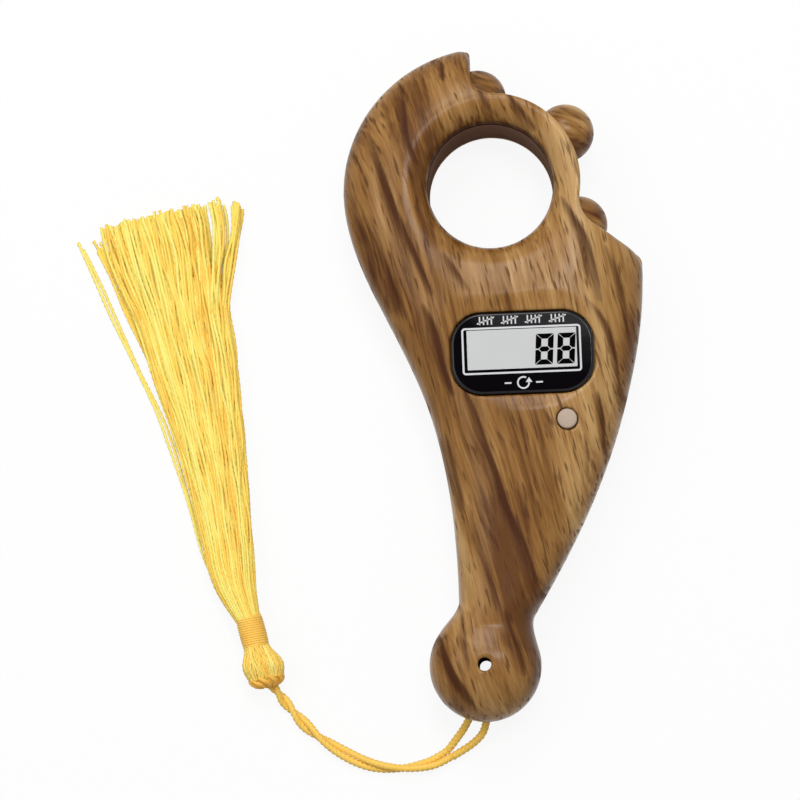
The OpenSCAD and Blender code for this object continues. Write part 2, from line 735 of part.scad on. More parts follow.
module contact_strips() {
    color("darkslategray")
        for (y = [lcd_y - lcd_h / 2 + 0.3, lcd_y + lcd_h / 2 - 0.3 - strip_d])
            translate([lens_x - lcd_w / 2 + 1.2, y, board_top])
                cube([lcd_w - 2.4, strip_d, strip_h]);
}

module circuit_board() {
    color("darkgreen")
        difference() {
            translate([0, 0, board_bottom])
                linear_extrude(board_t)
                    polygon(concat([for (y = board_y) [board_left(y), y]],
                        [for (i = [4 : -1 : 0]) [board_right(board_y[i]), board_y[i]]]));
            at(board_screw_at)
                cylinder(r = board_screw_r + room, h = front_h);
        }
}

module chip_cap() {
    cap_w = 3.4;
    cap_t = 1.2;
    ball = (cap_w * cap_w + cap_t * cap_t) / (2 * cap_t);
    color("black")
        difference() {
            translate([lens_x + 2, lcd_y - 4, board_bottom - cap_t + ball])
                sphere(r = ball);
            translate([lens_x + 2 - 2 * ball, lcd_y - 4 - 2 * ball, board_bottom])
                cube(4 * ball);
        }
}

module board_screws() {
    color("silver")
        at(board_screw_at) {
            translate([0, 0, board_bottom - board_head_h])
                cylinder(r = board_head_r, h = board_head_h);
            translate([0, 0, board_bottom - board_head_h / 2])
                cylinder(r = board_screw_r, h = ledge + 0.7 - board_bottom + board_head_h / 2);
        }
}

module reset_button() {
    crown_t = 0.25;
    color("tan")
        at([button_at]) {
            translate([0, 0, flange_top - flange_t])
                cylinder(r = flange_r, h = flange_t);
            translate([0, 0, flange_top - flange_t / 2])
                cylinder(r = button_r, h = button_face + 0.3 - flange_top + flange_t / 2);
            translate([0, 0, button_face + 0.3])
                cylinder(r1 = button_r, r2 = button_r - crown_t, h = crown_t);
        }
}

module reset_dome() {
    dome_r = 1.5;
    color("silver")
        at([button_at])
            translate([0, 0, board_top])
                cylinder(r1 = dome_r, r2 = dome_r / 2, h = dome_h);
}

// A strip bent to an outline in the Y and Z plane
module bent_strip(x, w, outline) {
    translate([x - w / 2, 0, 0])
        rotate([90, 0, 90])
            linear_extrude(w)
                polygon(outline);
}

module click_spring() {
    color("goldenrod") {
        bent_strip(spring_x, strip_w, [
            [riser_y, strip_floor], [click_in, strip_floor], [click_in, click_top], [click_out, click_top],
            [click_out, click_top - strip_t], [click_in - strip_t, click_top - strip_t],
            [click_in - strip_t, strip_floor + strip_t], [riser_y + strip_t, strip_floor + strip_t],
            [riser_y + strip_t, board_bottom - touch], [riser_y, board_bottom - touch]]);
        translate([spring_x, click_in, bump_z])
            rotate([90, 0, 0])
                cylinder(r = bump_r, h = click_in - click_out);
    }
}

module count_contact() {
    nub_r = 0.3;
    tab_z = strip_floor + 2 * strip_t;
    nub_top = click_top - strip_t - 0.3;
    tab_y = click_out + 0.1;
    tab_w = click_in - strip_t - 0.1 - tab_y;
    color("goldenrod") {
        bent_strip(contact_x, strip_w, [
            [riser_y, strip_floor], [tab_y + tab_w, strip_floor],
            [tab_y + tab_w, tab_z + strip_t], [tab_y, tab_z + strip_t],
            [tab_y, strip_floor + strip_t], [riser_y + strip_t, strip_floor + strip_t],
            [riser_y + strip_t, board_bottom - touch], [riser_y, board_bottom - touch]]);
        translate([spring_x - nub_r, tab_y, tab_z])
            cube([contact_x - spring_x, tab_w, strip_t]);
        translate([spring_x, tab_y + tab_w / 2, tab_z])
            cylinder(r = nub_r, h = nub_top - tab_z);
    }
}

module button_cell() {
    color("silver")
        at([cell_at]) {
            translate([0, 0, cell_bottom])
                cylinder(r = cell_r, h = cell_h - cap_h);
            translate([0, 0, cell_bottom + cell_h / 2])
                cylinder(r = cap_r, h = cell_h / 2);
        }
}

module cell_clip_positive() {
    clip_w = 3;
    side = cell_x + cell_r + touch;
    color("gold") {
        translate([side, -cell_y - clip_w / 2, cell_bottom + cell_h / 3])
            cube([strip_t, clip_w, board_bottom - touch - cell_bottom - cell_h / 3]);
        translate([side, -cell_y - clip_w / 2, board_bottom - touch - strip_t])
            cube([1.2, clip_w, strip_t]);
    }
}

module cell_spring_negative() {
    low = cell_top + touch;
    high = board_bottom - touch;
    color("gold")
        bent_strip(cell_x, 3, [
            [-cell_y - 1, low], [-cell_y + 1.2, low], [-cell_y + 3, high - strip_t],
            [-cell_y + 5.4, high - strip_t], [-cell_y + 5.4, high], [-cell_y + 2.9, high],
            [-cell_y + 1.1, low + strip_t], [-cell_y - 1, low + strip_t]]);
}

module battery_cover() {
    color("peru")
        difference() {
            translate([0, 0, -back_h])
                linear_extrude(cover_t - touch)
                    cover_plan(0);
            at([tab_at])
                translate([0, 0, -back_h - over])
                    cylinder(r = screw_r + room, h = cover_t + 2 * over);
            at([tab_at])
                translate([0, 0, -back_h - over])
                    cylinder(r = head_screw_r + room, h = over + cover_t / 2);
        }
}

module battery_cover_screw() {
    color("silver")
        at([tab_at]) {
            translate([0, 0, -back_h + 0.1])
                cylinder(r = head_screw_r, h = cover_t / 2 - 0.1);
            translate([0, 0, -back_h + 0.2])
                cylinder(r = screw_r, h = back_h - 2.4);
        }
}

module shell_screws() {
    color("silver")
        at(shell_screw_at)
            shell_screw();
}

module cord_loop() {
    color("gold")
        tube(loop_path, cord_d / 2, strand_sides);
}

module tassel_cord() {
    color("gold")
        tube(pair_path, pair_d / 2, strand_sides);
}

module tassel_head() {
    ball = [for (a = [0 : 10 : 150]) [knot_r * sin(a), -knot_r * cos(a)]];
    color("gold")
        along_tassel()
            rotate_extrude()
                polygon(concat(ball, [[knot_neck, knot_end], [0, knot_end]]));
}

module tassel_binding() {
    edge = 0.5;
    color("orange")
        along_tassel()
            translate([0, 0, binding_from])
                rotate_extrude()
                    polygon([[0, 0], [binding_r - edge, 0], [binding_r, edge],
                        [binding_r, binding_len - edge], [binding_r - edge / 2, binding_len],
                        [0, binding_len]]);
}

module tassel_skirt() {
    color("khaki")
        skirt();
}

front_shell();
back_shell();
finger_sleeve();
wheel_hub();
bead(0);  // bead_1
bead(1);  // bead_2
bead(2);  // bead_3
bead(3);  // bead_4
bead(4);  // bead_5
bead(5);  // bead_6
display_lens();
display_panel();
contact_strips();
circuit_board();
chip_cap();
board_screws();
reset_button();
reset_dome();
click_spring();
count_contact();
button_cell();
cell_clip_positive();
cell_spring_negative();
battery_cover();
battery_cover_screw();
shell_screws();
cord_loop();
tassel_cord();
tassel_head();
tassel_binding();
tassel_skirt();
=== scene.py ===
import math

import bpy
import numpy as np
from mathutils import Matrix, Vector


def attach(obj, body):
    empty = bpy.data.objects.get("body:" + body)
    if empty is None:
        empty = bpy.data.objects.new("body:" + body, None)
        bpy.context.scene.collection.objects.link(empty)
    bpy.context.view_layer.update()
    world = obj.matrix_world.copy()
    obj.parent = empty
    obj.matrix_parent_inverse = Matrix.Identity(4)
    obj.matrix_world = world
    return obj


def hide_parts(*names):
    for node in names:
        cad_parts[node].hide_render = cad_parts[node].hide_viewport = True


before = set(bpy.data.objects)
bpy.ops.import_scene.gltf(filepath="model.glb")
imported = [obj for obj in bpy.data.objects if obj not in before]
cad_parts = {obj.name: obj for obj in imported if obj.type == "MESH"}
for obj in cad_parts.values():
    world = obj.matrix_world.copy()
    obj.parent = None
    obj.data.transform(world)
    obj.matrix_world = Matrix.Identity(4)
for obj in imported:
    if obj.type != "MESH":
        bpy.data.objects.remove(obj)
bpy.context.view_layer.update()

# The bead counter's looks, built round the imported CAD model. Lengths in this script are in
# millimetres, as in the CAD source, and become metres where a mesh is made.
MM = 0.001

# Sizes, mostly those of the CAD source; the ring, the flare and the dish follow the photograph more closely
BORE_R, SLEEVE_R, SLEEVE_ROOM, WHEEL_R = 10.35, 11.5, 0.05, 15.7
BEAD_R, BEAD_STAND, WHEEL_TURN, RACE_R = 4.8, 2.5, 36.0, 5.3
HEAD_R, FRONT_H, BACK_H, BACK_CROWN = 24.5, 9.0, 7.5, 8.6
POWER, WALL, NECK_Y, NECK_H = 2.5, 2.0, 67.0, 6.8
NECK_LEFT, NECK_RIGHT = 7.7, 7.0
BULB_R, BULB_X, BULB_Y, BULB_H, HANG_R, HANG_BOSS = 9.15, -3.75, 78.7, 8.2, 1.08, 2.38
MOUTH_Z, BACK_MOUTH_R, LIP_OUT, LIP_Z = 4.09, 0.6, 12.7, 3.4
FLARE_R, FLARE_OUT, FLARE_TOP = 6.0, 14.35, 8.0
RING_R, WINDOW_X, WINDOW_FILLET = 14.7, -2.7, 3.5
HORN_Y, HORN_SLOPE, HORN_FILLET = 12.3, 32.0, 5.0
LENS_W, LENS_H, LENS_R, LENS_T, LENS_X, LENS_Y, LENS_FLOOR = 23.3, 13.5, 5.2, 1.3, 4.25, -28.4, 6.9
LCD_W, LCD_H, LCD_Y = 20.8, 9.4, -27.85
DISH_LEN, DISH_DEPTH, DISH_Y = 20.9, 1.4, -27.95
BUTTON_R, BUTTON_GAP, BUTTON_X, BUTTON_Y, BUTTON_TOP = 1.6, 0.3, 11.1, -39.5, 8.7
BUTTON_FLANGE_TOP, BUTTON_FLANGE_R, BUTTON_BAY_R, BUTTON_BAY_TOP = 5.25, 2.6, 3.2, 5.6
CELL_X, CELL_Y, COVER_R, TAB_R, COVER_T = 3.9, -46.0, 7.2, 3.2, 1.5
TAB_X, TAB_Y, TAB_BOSS_R, CELL_BAY_R = 3.1, -55.6, 2.0, 5.95
SHELL_SCREWS = [(-10.293, -27.0), (18.325, -27.0), (0.828, -63.0)]
FRONT_BOSS_R, BACK_BOSS_R = 2.0, 2.75
SCREW_HEAD_R, SCREW_R, SCREW_SINK, SCREW_HEAD_H, ROOM = 1.7, 0.9, 3.8, 1.2, 0.15
SCREW_END, TAB_SCREW_END = 4.95, -2.2
CAVITY_TOP, CAVITY_END, LEDGE, BACK_FLOOR = -23.0, -65.5, 5.4, 6.3
RING_HOLLOW_R, RING_HOLLOW_H = 6.45, 4.6
CORD_HOLES_X, CORD_HOLE_R, CORD_HOLE_Z, CORD_HOLE_IN = (-6.8, -3.9), 0.925, -3, 3.2
TASSEL_AT, TASSEL_TURN = np.array([-40.8, -77.4, -4.05]), 100.0
KNOT_END, BINDING_LEN, BINDING_R, SKIRT_LEN = 3.4, 5.2, 2.3, 69.0


# Camera
PHOTO_PIXELS, FOCAL_PIXELS, SENSOR = 800, 3146, 36


def make_camera():
    """The photograph's camera: 520 mm away, leaning to the tassel end and a little to the right."""
    right, up = (0.99830, -0.03360, -0.04771), (0.03913, 0.99199, 0.12009)
    back = (0.04329, -0.12176, 0.99162)
    stand = (0.006237, -0.097728, 0.515640)
    data = bpy.data.cameras.new("photo_camera")
    data.sensor_width = SENSOR
    data.lens = SENSOR * FOCAL_PIXELS / PHOTO_PIXELS
    data.clip_start, data.clip_end = 0.01, 50
    camera = bpy.data.objects.new("photo_camera", data)
    camera.matrix_world = Matrix([*zip(right, up, back, stand), (0, 0, 0, 1)])
    bpy.context.scene.collection.objects.link(camera)
    bpy.context.scene.camera = camera


# Mesh helpers
def piece(name, points, faces, body, slot, *replaced, smooth=True):
    """A mesh from points in millimetres and arrays of faces, riding on a body."""
    faces = [np.asarray(f, np.int32) for f in (faces if isinstance(faces, list) else [faces])]
    sizes = np.concatenate([np.full(len(f), f.shape[1], np.int32) for f in faces])
    mesh = bpy.data.meshes.new(name)
    mesh.vertices.add(len(points))
    mesh.vertices.foreach_set("co", (np.asarray(points, float) * MM).astype(np.float32).ravel())
    corners = np.concatenate([f.ravel() for f in faces])
    mesh.loops.add(len(corners))
    mesh.loops.foreach_set("vertex_index", corners)
    mesh.polygons.add(len(sizes))
    mesh.polygons.foreach_set("loop_start", np.concatenate([[0], np.cumsum(sizes)[:-1]]).astype(np.int32))
    mesh.polygons.foreach_set("use_smooth", np.full(len(sizes), smooth))
    mesh.update(calc_edges=True)
    mesh.validate()
    made = bpy.data.objects.new(name, mesh)
    bpy.context.scene.collection.objects.link(made)
    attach(made, body)
    if replaced:
        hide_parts(*replaced)
    return made


def dress(made, *materials):
    made.data.materials.clear()
    for material in materials:
        made.data.materials.append(material)
    return made


def mark(made, name, values):
    """A number for each point, which a material reads."""
    made.data.attributes.new(name, "FLOAT", "POINT").data.foreach_set("value", np.asarray(values, np.float32))


def grid_faces(rows, sides):
    """Quads between rows of points that go round."""
    i, j = np.meshgrid(np.arange(rows - 1), np.arange(sides), indexing="ij")
    k = (j + 1) % sides
    quads = np.stack([i * sides + j, i * sides + k, (i + 1) * sides + k, (i + 1) * sides + j], -1)
    return quads.reshape(-1, 4)


def closed_faces(rows, sides):
    """Quads between rows of points and a fan at each end; the two ends' middles follow the rows."""
    j = np.arange(sides)
    k = (j + 1) % sides
    count, last = rows * sides, (rows - 1) * sides
    fans = np.concatenate([np.stack([np.full(sides, count), k, j], -1),
                           np.stack([np.full(sides, count + 1), last + j, last + k], -1)])
    return [grid_faces(rows, sides), fans]


def turned_rows(profile, sides):
    """Each radius and height of a profile as a row of points round Z."""
    turn = np.linspace(0, 2 * np.pi, sides, endpoint=False)
    return np.stack([profile[:, None, 0] * np.cos(turn), profile[:, None, 0] * np.sin(turn),
                     np.broadcast_to(profile[:, None, 1], (len(profile), sides))], -1)


def lathe(profile, sides):
    """A closed profile of radius and height turned about Z."""
    points = turned_rows(np.asarray(profile, float), sides)
    faces = grid_faces(len(points) + 1, sides) % (len(points) * sides)
    return points.reshape(-1, 3), faces


def turned(profile, sides):
    """An open profile from axis to axis turned about Z, closed by a fan at each end."""
    profile = np.asarray(profile, float)
    rows = turned_rows(profile[1:-1], sides)
    points = np.concatenate([rows.reshape(-1, 3), [[0, 0, profile[0, 1]], [0, 0, profile[-1, 1]]]])
    return points, closed_faces(len(rows), sides)


def rounded_profile(corners, radius, steps):
    """The corners of a profile, each rounded over."""
    corners = [np.asarray(c, float) for c in corners]
    made = []
    for i, c in enumerate(corners):
        a, b = corners[i - 1] - c, corners[(i + 1) % len(corners)] - c
        reach = min(radius, 0.49 * np.linalg.norm(a), 0.49 * np.linalg.norm(b))
        start, end = c + a / np.linalg.norm(a) * reach, c + b / np.linalg.norm(b) * reach
        for t in np.linspace(0, 1, steps):
            made.append((1 - t) ** 2 * start + 2 * t * (1 - t) * c + t * t * end)
    return np.array(made)


def spun(points, angle):
    """Points turned about Z."""
    c, s = math.cos(math.radians(angle)), math.sin(math.radians(angle))
    return points @ np.array([[c, s, 0], [-s, c, 0], [0, 0, 1]])


def spline(points, steps):
    """A smooth curve through points, with so many steps between each two."""
    p = np.asarray(points, float)
    q = np.concatenate([p[:1], p, p[-1:]])
    t = np.linspace(0, 1, steps, endpoint=False)[:, None]
    made = [0.5 * (2 * b + (c - a) * t + (2 * a - 5 * b + 4 * c - d) * t * t
                   + (3 * b - a - 3 * c + d) * t ** 3)
            for a, b, c, d in zip(q[:-3], q[1:-2], q[2:-1], q[3:])]
    return np.concatenate(made + [p[-1:]])


def along(path):
    """Distance along a path at each of its points."""
    return np.concatenate([[0], np.cumsum(np.linalg.norm(np.diff(path, axis=0), axis=1))])


def even(path, step):
    """The path with points about step apart."""
    s = along(path)
    t = np.linspace(0, s[-1], max(2, int(round(s[-1] / step)) + 1))
    return np.stack([np.interp(t, s, path[:, i]) for i in range(3)], -1)


def frames(path, first):
    """Two directions across the path at each point, carried along it without turning."""
    heading = np.gradient(path, axis=0)
    heading /= np.linalg.norm(heading, axis=1)[:, None]
    side = np.asarray(first, float)
    sides = []
    for h in heading:
        side = side - h * (side @ h)
        side = side / np.linalg.norm(side)
        sides.append(side)
    sides = np.array(sides)
    return sides, np.cross(heading, sides)


def tube(path, radius, sides, lobes, depth, pitch, first=(0, 0, 1), start=0.0, flat=1.0):
    """A twisted yarn along a path, round or flat; its lobes turn once in each pitch."""
    a, b = frames(path, first)
    s = along(path)
    turn = np.linspace(0, 2 * np.pi, sides, endpoint=False)[None, :]
    radius = np.broadcast_to(np.asarray(radius, float), (len(path),))[:, None]
    r = radius * (1 - depth + depth * np.cos(lobes * (turn - 2 * np.pi * s[:, None] / pitch - start)))
    across = flat * np.cos(turn)[..., None] * a[:, None] + np.sin(turn)[..., None] * b[:, None]
    points = (path[:, None] + r[..., None] * across).reshape(-1, 3)
    return np.concatenate([points, path[:1], path[-1:]]), closed_faces(len(path), sides)


def join(parts):
    """Several meshes as one: points and one array of faces for each number of corners."""
    points, faces, first = [], {}, 0
    for p, fs in parts:
        for f in fs if isinstance(fs, list) else [fs]:
            faces.setdefault(f.shape[1], []).append(f + first)
        points.append(p)
        first += len(p)
    return np.concatenate(points), [np.concatenate(f) for f in faces.values()]


# The body's two halves, as fields that are negative inside
def smax(a, b, k):
    """The larger of two fields, rounded over a width k where they meet."""
    return np.maximum(a, b) + np.maximum(k - np.abs(a - b), 0) ** 2 / (4 * k)


def largest(*fields):
    made = fields[0]
    for field in fields[1:]:
        made = np.maximum(made, field)
    return made


FLANKS = np.array([
    [0, -HEAD_R, 0, HEAD_R, 0], [-18, 5.05 - HEAD_R, -0.47, HEAD_R - 0.05, 0.06],
    [-38, -11.1, -0.28, 20.5, 0.3], [-NECK_Y, -NECK_LEFT, 0, NECK_RIGHT, 0.62]])


def flank(y, c):
    """The left edge (c is 1) or the right edge (c is 3) of the handle."""
    i = np.where(y > FLANKS[1, 0], 0, np.where(y > FLANKS[2, 0], 1, 2))
    a, b = FLANKS[i], FLANKS[i + 1]
    d = b[..., 0] - a[..., 0]
    t = (y - a[..., 0]) / d
    curve = ((2 * t ** 3 - 3 * t ** 2 + 1) * a[..., c] + (t ** 3 - 2 * t ** 2 + t) * d * a[..., c + 1]
             + (3 * t ** 2 - 2 * t ** 3) * b[..., c] + (t ** 3 - t ** 2) * d * b[..., c + 1])
    return np.where(y < b[..., 0], b[..., c] + (y - b[..., 0]) * b[..., c + 1], curve)


def edges(y):
    """Left and right edges of the outline from the finger hole to the round end."""
    y = np.clip(y, -BULB_Y, 0)
    ball = np.sqrt(smax(BULB_R ** 2 - (y + BULB_Y) ** 2, 0, 30.0))
    return (BULB_X - smax(BULB_X - flank(y, 1), ball, 4.0), BULB_X + smax(flank(y, 3) - BULB_X, ball, 4.0))


def handle_height(y, top, low):
    t = np.clip((y + 30) / (30 - NECK_Y), 0, 1)
    return top + (low - top) * t * t * (3 - 2 * t)


def level(x, y, z, top, low, end):
    """1 on the outside of a half body, less inside it."""
    z = np.abs(z)
    head = ((np.hypot(x, 1.018 * y) / HEAD_R) ** POWER + (z / top) ** POWER) ** (1 / POWER)
    left, right = edges(y)
    ball = np.sqrt(np.maximum(0, BULB_R ** 2 - (np.clip(y, -BULB_Y, 0) + BULB_Y) ** 2))
    body = handle_height(y, top, low)
    high = np.maximum(body, end) if top == low else smax(body, end * ball / BULB_R, 1.2)
    half = (right - left) / 2
    middle = ((np.abs(x - (left + right) / 2) / half) ** POWER + (z / high) ** POWER) ** (1 / POWER)
    across = (np.abs(x - BULB_X) ** POWER + (z * BULB_R / end) ** POWER) ** (2 / POWER)
    bulb = np.sqrt(across + (y + BULB_Y) ** 2) / BULB_R
    return np.where(y >= 0, head, np.where(y <= -BULB_Y, bulb, middle))


def outside(x, y, z, top, low, end):
    """About the distance to the outside of a half body."""
    e = 0.04
    q = level(x, y, z, top, low, end)
    slope = [(level(x + e * a, y + e * b, z + e * c, top, low, end) - q) / e for a, b, c in np.eye(3)]
    return (q - 1) / np.maximum(np.sqrt(sum(s * s for s in slope)), 0.02)


def arc(centre, radius, a, b, n):
    t = np.radians(np.linspace(a, b, n))
    return np.asarray(centre) + radius * np.stack([np.cos(t), np.sin(t)], -1)


def window_outline():
    """The bead window seen from the face, as in the CAD source but for a slightly fuller ring."""
    far, middle = 60.0, np.array([0.15, 0.35])
    cx = WINDOW_X + WINDOW_FILLET - middle[0]
    upper = np.array([cx, math.sqrt((RING_R + WINDOW_FILLET) ** 2 - cx ** 2)])
    upper_turn = math.degrees(math.atan2(upper[1], upper[0]))
    slope = math.radians(HORN_SLOPE)
    e, n = np.array([math.cos(slope), -math.sin(slope)]), np.array([math.sin(slope), math.cos(slope)])
    q = np.array([HEAD_R + 0.2, -HORN_Y]) - middle + HORN_FILLET * n
    t = -(q @ e) + math.sqrt((q @ e) ** 2 - q @ q + (RING_R + HORN_FILLET) ** 2)
    lower = q + t * e
    lower_turn = math.degrees(math.atan2(lower[1], lower[0]))
    return middle + np.concatenate([
        [[far, far], [WINDOW_X - middle[0], far]], arc(upper, WINDOW_FILLET, 180, 180 + upper_turn, 16),
        arc((0, 0), RING_R, upper_turn, lower_turn, 40),
        arc(lower, HORN_FILLET, 180 + lower_turn, 270 - HORN_SLOPE, 16), [q - HORN_FILLET * n + far * e]])


WINDOW = window_outline()


def inside_outline(x, y, outline):
    """Distance to a closed outline, negative inside it."""
    near, within = np.full(np.broadcast(x, y).shape, 1e9), np.zeros(np.broadcast(x, y).shape, bool)
    for (ax, ay), (bx, by) in zip(outline, np.roll(outline, -1, 0)):
        ex, ey = bx - ax, by - ay
        t = np.clip(((x - ax) * ex + (y - ay) * ey) / max(ex * ex + ey * ey, 1e-12), 0, 1)
        near = np.minimum(near, (x - ax - t * ex) ** 2 + (y - ay - t * ey) ** 2)
        if ey != 0:
            within ^= ((y < ay) != (y < by)) & (x < ax + (y - ay) * ex / ey)
    return np.where(within, -1, 1) * np.sqrt(near)


def rounded_box(x, y, w, h, r):
    dx, dy = np.abs(x) - w / 2 + r, np.abs(y) - h / 2 + r
    return np.hypot(np.maximum(dx, 0), np.maximum(dy, 0)) + np.minimum(np.maximum(dx, dy), 0) - r


def race(x, y, z):
    rho = np.hypot(x, y)
    return np.where(rho < WHEEL_R, np.abs(z), np.hypot(rho - WHEEL_R, z)) - RACE_R


def cavity(x, y, z, top, low, floor):
    """The hollow of the handle."""
    yc = np.clip(y, CAVITY_END, CAVITY_TOP)
    left, right = edges(yc)
    w, h = (right - left) / 2 - WALL, handle_height(yc, top, low)
    q = ((np.abs(x - (left + right) / 2) / w) ** POWER + (np.abs(z) / h) ** POWER) ** (1 / POWER)
    return largest((q - 1) * np.minimum(w, h), y - CAVITY_TOP, CAVITY_END - y, np.abs(z) - floor)


def ring_hollow(x, y, z):
    """The hollow of the round end, round the hang hole's wall."""
    rho = np.hypot(x - BULB_X, y + BULB_Y)
    return largest(rho - RING_HOLLOW_R, HANG_BOSS - rho, np.abs(z) - RING_HOLLOW_H)


def front_field(x, y, z):
    """The front half: hollow, with the finger hole's mouth, the bead window and the seats in its face."""
    rho = np.hypot(x, y)
    d = outside(x, y, z, FRONT_H, NECK_H, BULB_H)
    handle = cavity(x, y, z, LEDGE, NECK_H - WALL, FRONT_H)
    hollow = np.minimum(race(x, y, z), np.minimum(handle, ring_hollow(x, y, z)))
    hollow = np.maximum(hollow, -np.maximum(rho - LIP_OUT, LIP_Z - z))
    for sx, sy in SHELL_SCREWS:
        hollow = np.maximum(hollow, FRONT_BOSS_R - np.hypot(x - sx, y - sy))
    d = smax(d, -hollow, 0.3)
    reach, rise = BORE_R + FLARE_R - FLARE_OUT, FLARE_TOP - MOUTH_Z
    tall = rise / math.sqrt(1 - (reach / FLARE_R) ** 2)
    grade = (tall / FLARE_R) ** 2 * reach / rise
    flare = (1 - np.hypot((rho - BORE_R - FLARE_R) / FLARE_R, (z - MOUTH_Z) / tall)) * tall
    slope = (FLARE_TOP + (rho - FLARE_OUT) * grade - z) / math.hypot(1, grade)
    wall = rho - np.where(z < MOUTH_Z - SLEEVE_ROOM, SLEEVE_R + SLEEVE_ROOM, BORE_R)
    mouth = np.where(z < MOUTH_Z, wall, np.where(rho < FLARE_OUT, flare, slope))
    d = smax(d, -mouth, 0.7 + 0.9 * np.clip(-0.1 - y / np.maximum(rho, 1), 0, 1))
    d = smax(d, -inside_outline(x, y, WINDOW), 0.6 + 1.6 * np.clip((rho - 19) / 4, 0, 1))
    dish = ((DISH_LEN / 2) ** 2 + DISH_DEPTH ** 2) / (2 * DISH_DEPTH)
    d = smax(d, dish - np.hypot(y - DISH_Y, z - FRONT_H + DISH_DEPTH - dish), 0.25)
    seat = rounded_box(x - LENS_X, y - LENS_Y, LENS_W + 2 * ROOM, LENS_H + 2 * ROOM, LENS_R + ROOM)
    pocket = rounded_box(x - LENS_X, y - LCD_Y, LCD_W + 2 * ROOM, LCD_H + 2 * ROOM, 0.1)
    seat, pocket = np.maximum(seat, LENS_FLOOR - z), np.maximum(pocket, z - LENS_FLOOR - 0.1)
    d = smax(d, -np.minimum(seat, pocket), 0.35)
    button = np.hypot(x - BUTTON_X, y - BUTTON_Y)
    flange = np.maximum(button - BUTTON_BAY_R, z - BUTTON_BAY_TOP)
    d = smax(d, -np.minimum(button - BUTTON_R - BUTTON_GAP + 0.12, flange), 0.35)
    d = smax(d, HANG_R - np.hypot(x - BULB_X, y + BULB_Y), 0.5)
    return smax(d, 0.02 - z, 0.25)


def back_field(x, y, z):
    """The back half: flat below, with the battery bay, the screws' holes and the cord's two holes."""
    rho = np.hypot(x, y)
    d = outside(x, y, z, BACK_CROWN, BACK_CROWN, BACK_CROWN)
    d = smax(d, -BACK_H - z, 1.6)
    handle = cavity(x, y, z, BACK_FLOOR, BACK_FLOOR, RACE_R)
    hollow = np.minimum(race(x, y, z), np.minimum(handle, ring_hollow(x, y, z)))
    for sx, sy in SHELL_SCREWS:
        hollow = np.maximum(hollow, BACK_BOSS_R - np.hypot(x - sx, y - sy))
    hollow = np.maximum(hollow, np.minimum(TAB_BOSS_R - np.hypot(x - TAB_X, y - TAB_Y), -2 - z))
    d = smax(d, -hollow, 0.3)
    turn = np.hypot(rho - BORE_R - BACK_MOUTH_R, z + BACK_H - BACK_MOUTH_R)
    rim = np.maximum(BACK_MOUTH_R - turn, rho - BORE_R - BACK_MOUTH_R)
    low = np.where(z < BACK_MOUTH_R - BACK_H, rim, rho - BORE_R)
    d = smax(d, -np.where(z > -BACK_FLOOR, rho - SLEEVE_R - SLEEVE_ROOM, low), 0.4)
    d = smax(d, -inside_outline(x, y, WINDOW), 1.0)
    d = smax(d, -np.maximum(cover_field(x, y) - ROOM, z + BACK_H - COVER_T), 0.35)
    d = np.maximum(d, -np.maximum(np.hypot(x - CELL_X, y - CELL_Y) - CELL_BAY_R, z))
    d = np.maximum(d, SCREW_R + 0.02 - np.hypot(x - TAB_X, y - TAB_Y))
    for sx, sy in SHELL_SCREWS:
        way = np.hypot(x - sx, y - sy)
        d = smax(d, -np.maximum(way - SCREW_HEAD_R - ROOM, z + SCREW_SINK), 0.4)
        d = np.maximum(d, SCREW_R + ROOM - way)
    d = smax(d, HANG_R - np.hypot(x - BULB_X, y + BULB_Y), 0.5)
    for hx in CORD_HOLES_X:
        hole = np.hypot(x - hx, z - CORD_HOLE_Z) - CORD_HOLE_R
        d = smax(d, -np.maximum(hole, y + BULB_Y + CORD_HOLE_IN), 0.3)
    return smax(d, z + 0.02, 0.25)


def cover_field(x, y):
    """The battery cover's outline: a round lid with a screw tab."""
    lid, tab = np.hypot(x - CELL_X, y - CELL_Y) - COVER_R, np.hypot(x - TAB_X, y - TAB_Y) - TAB_R
    neck = np.maximum(np.abs(x - TAB_X) - TAB_R, np.abs(y - (CELL_Y + TAB_Y) / 2) - (CELL_Y - TAB_Y) / 2)
    return np.minimum(np.minimum(lid, tab), neck)


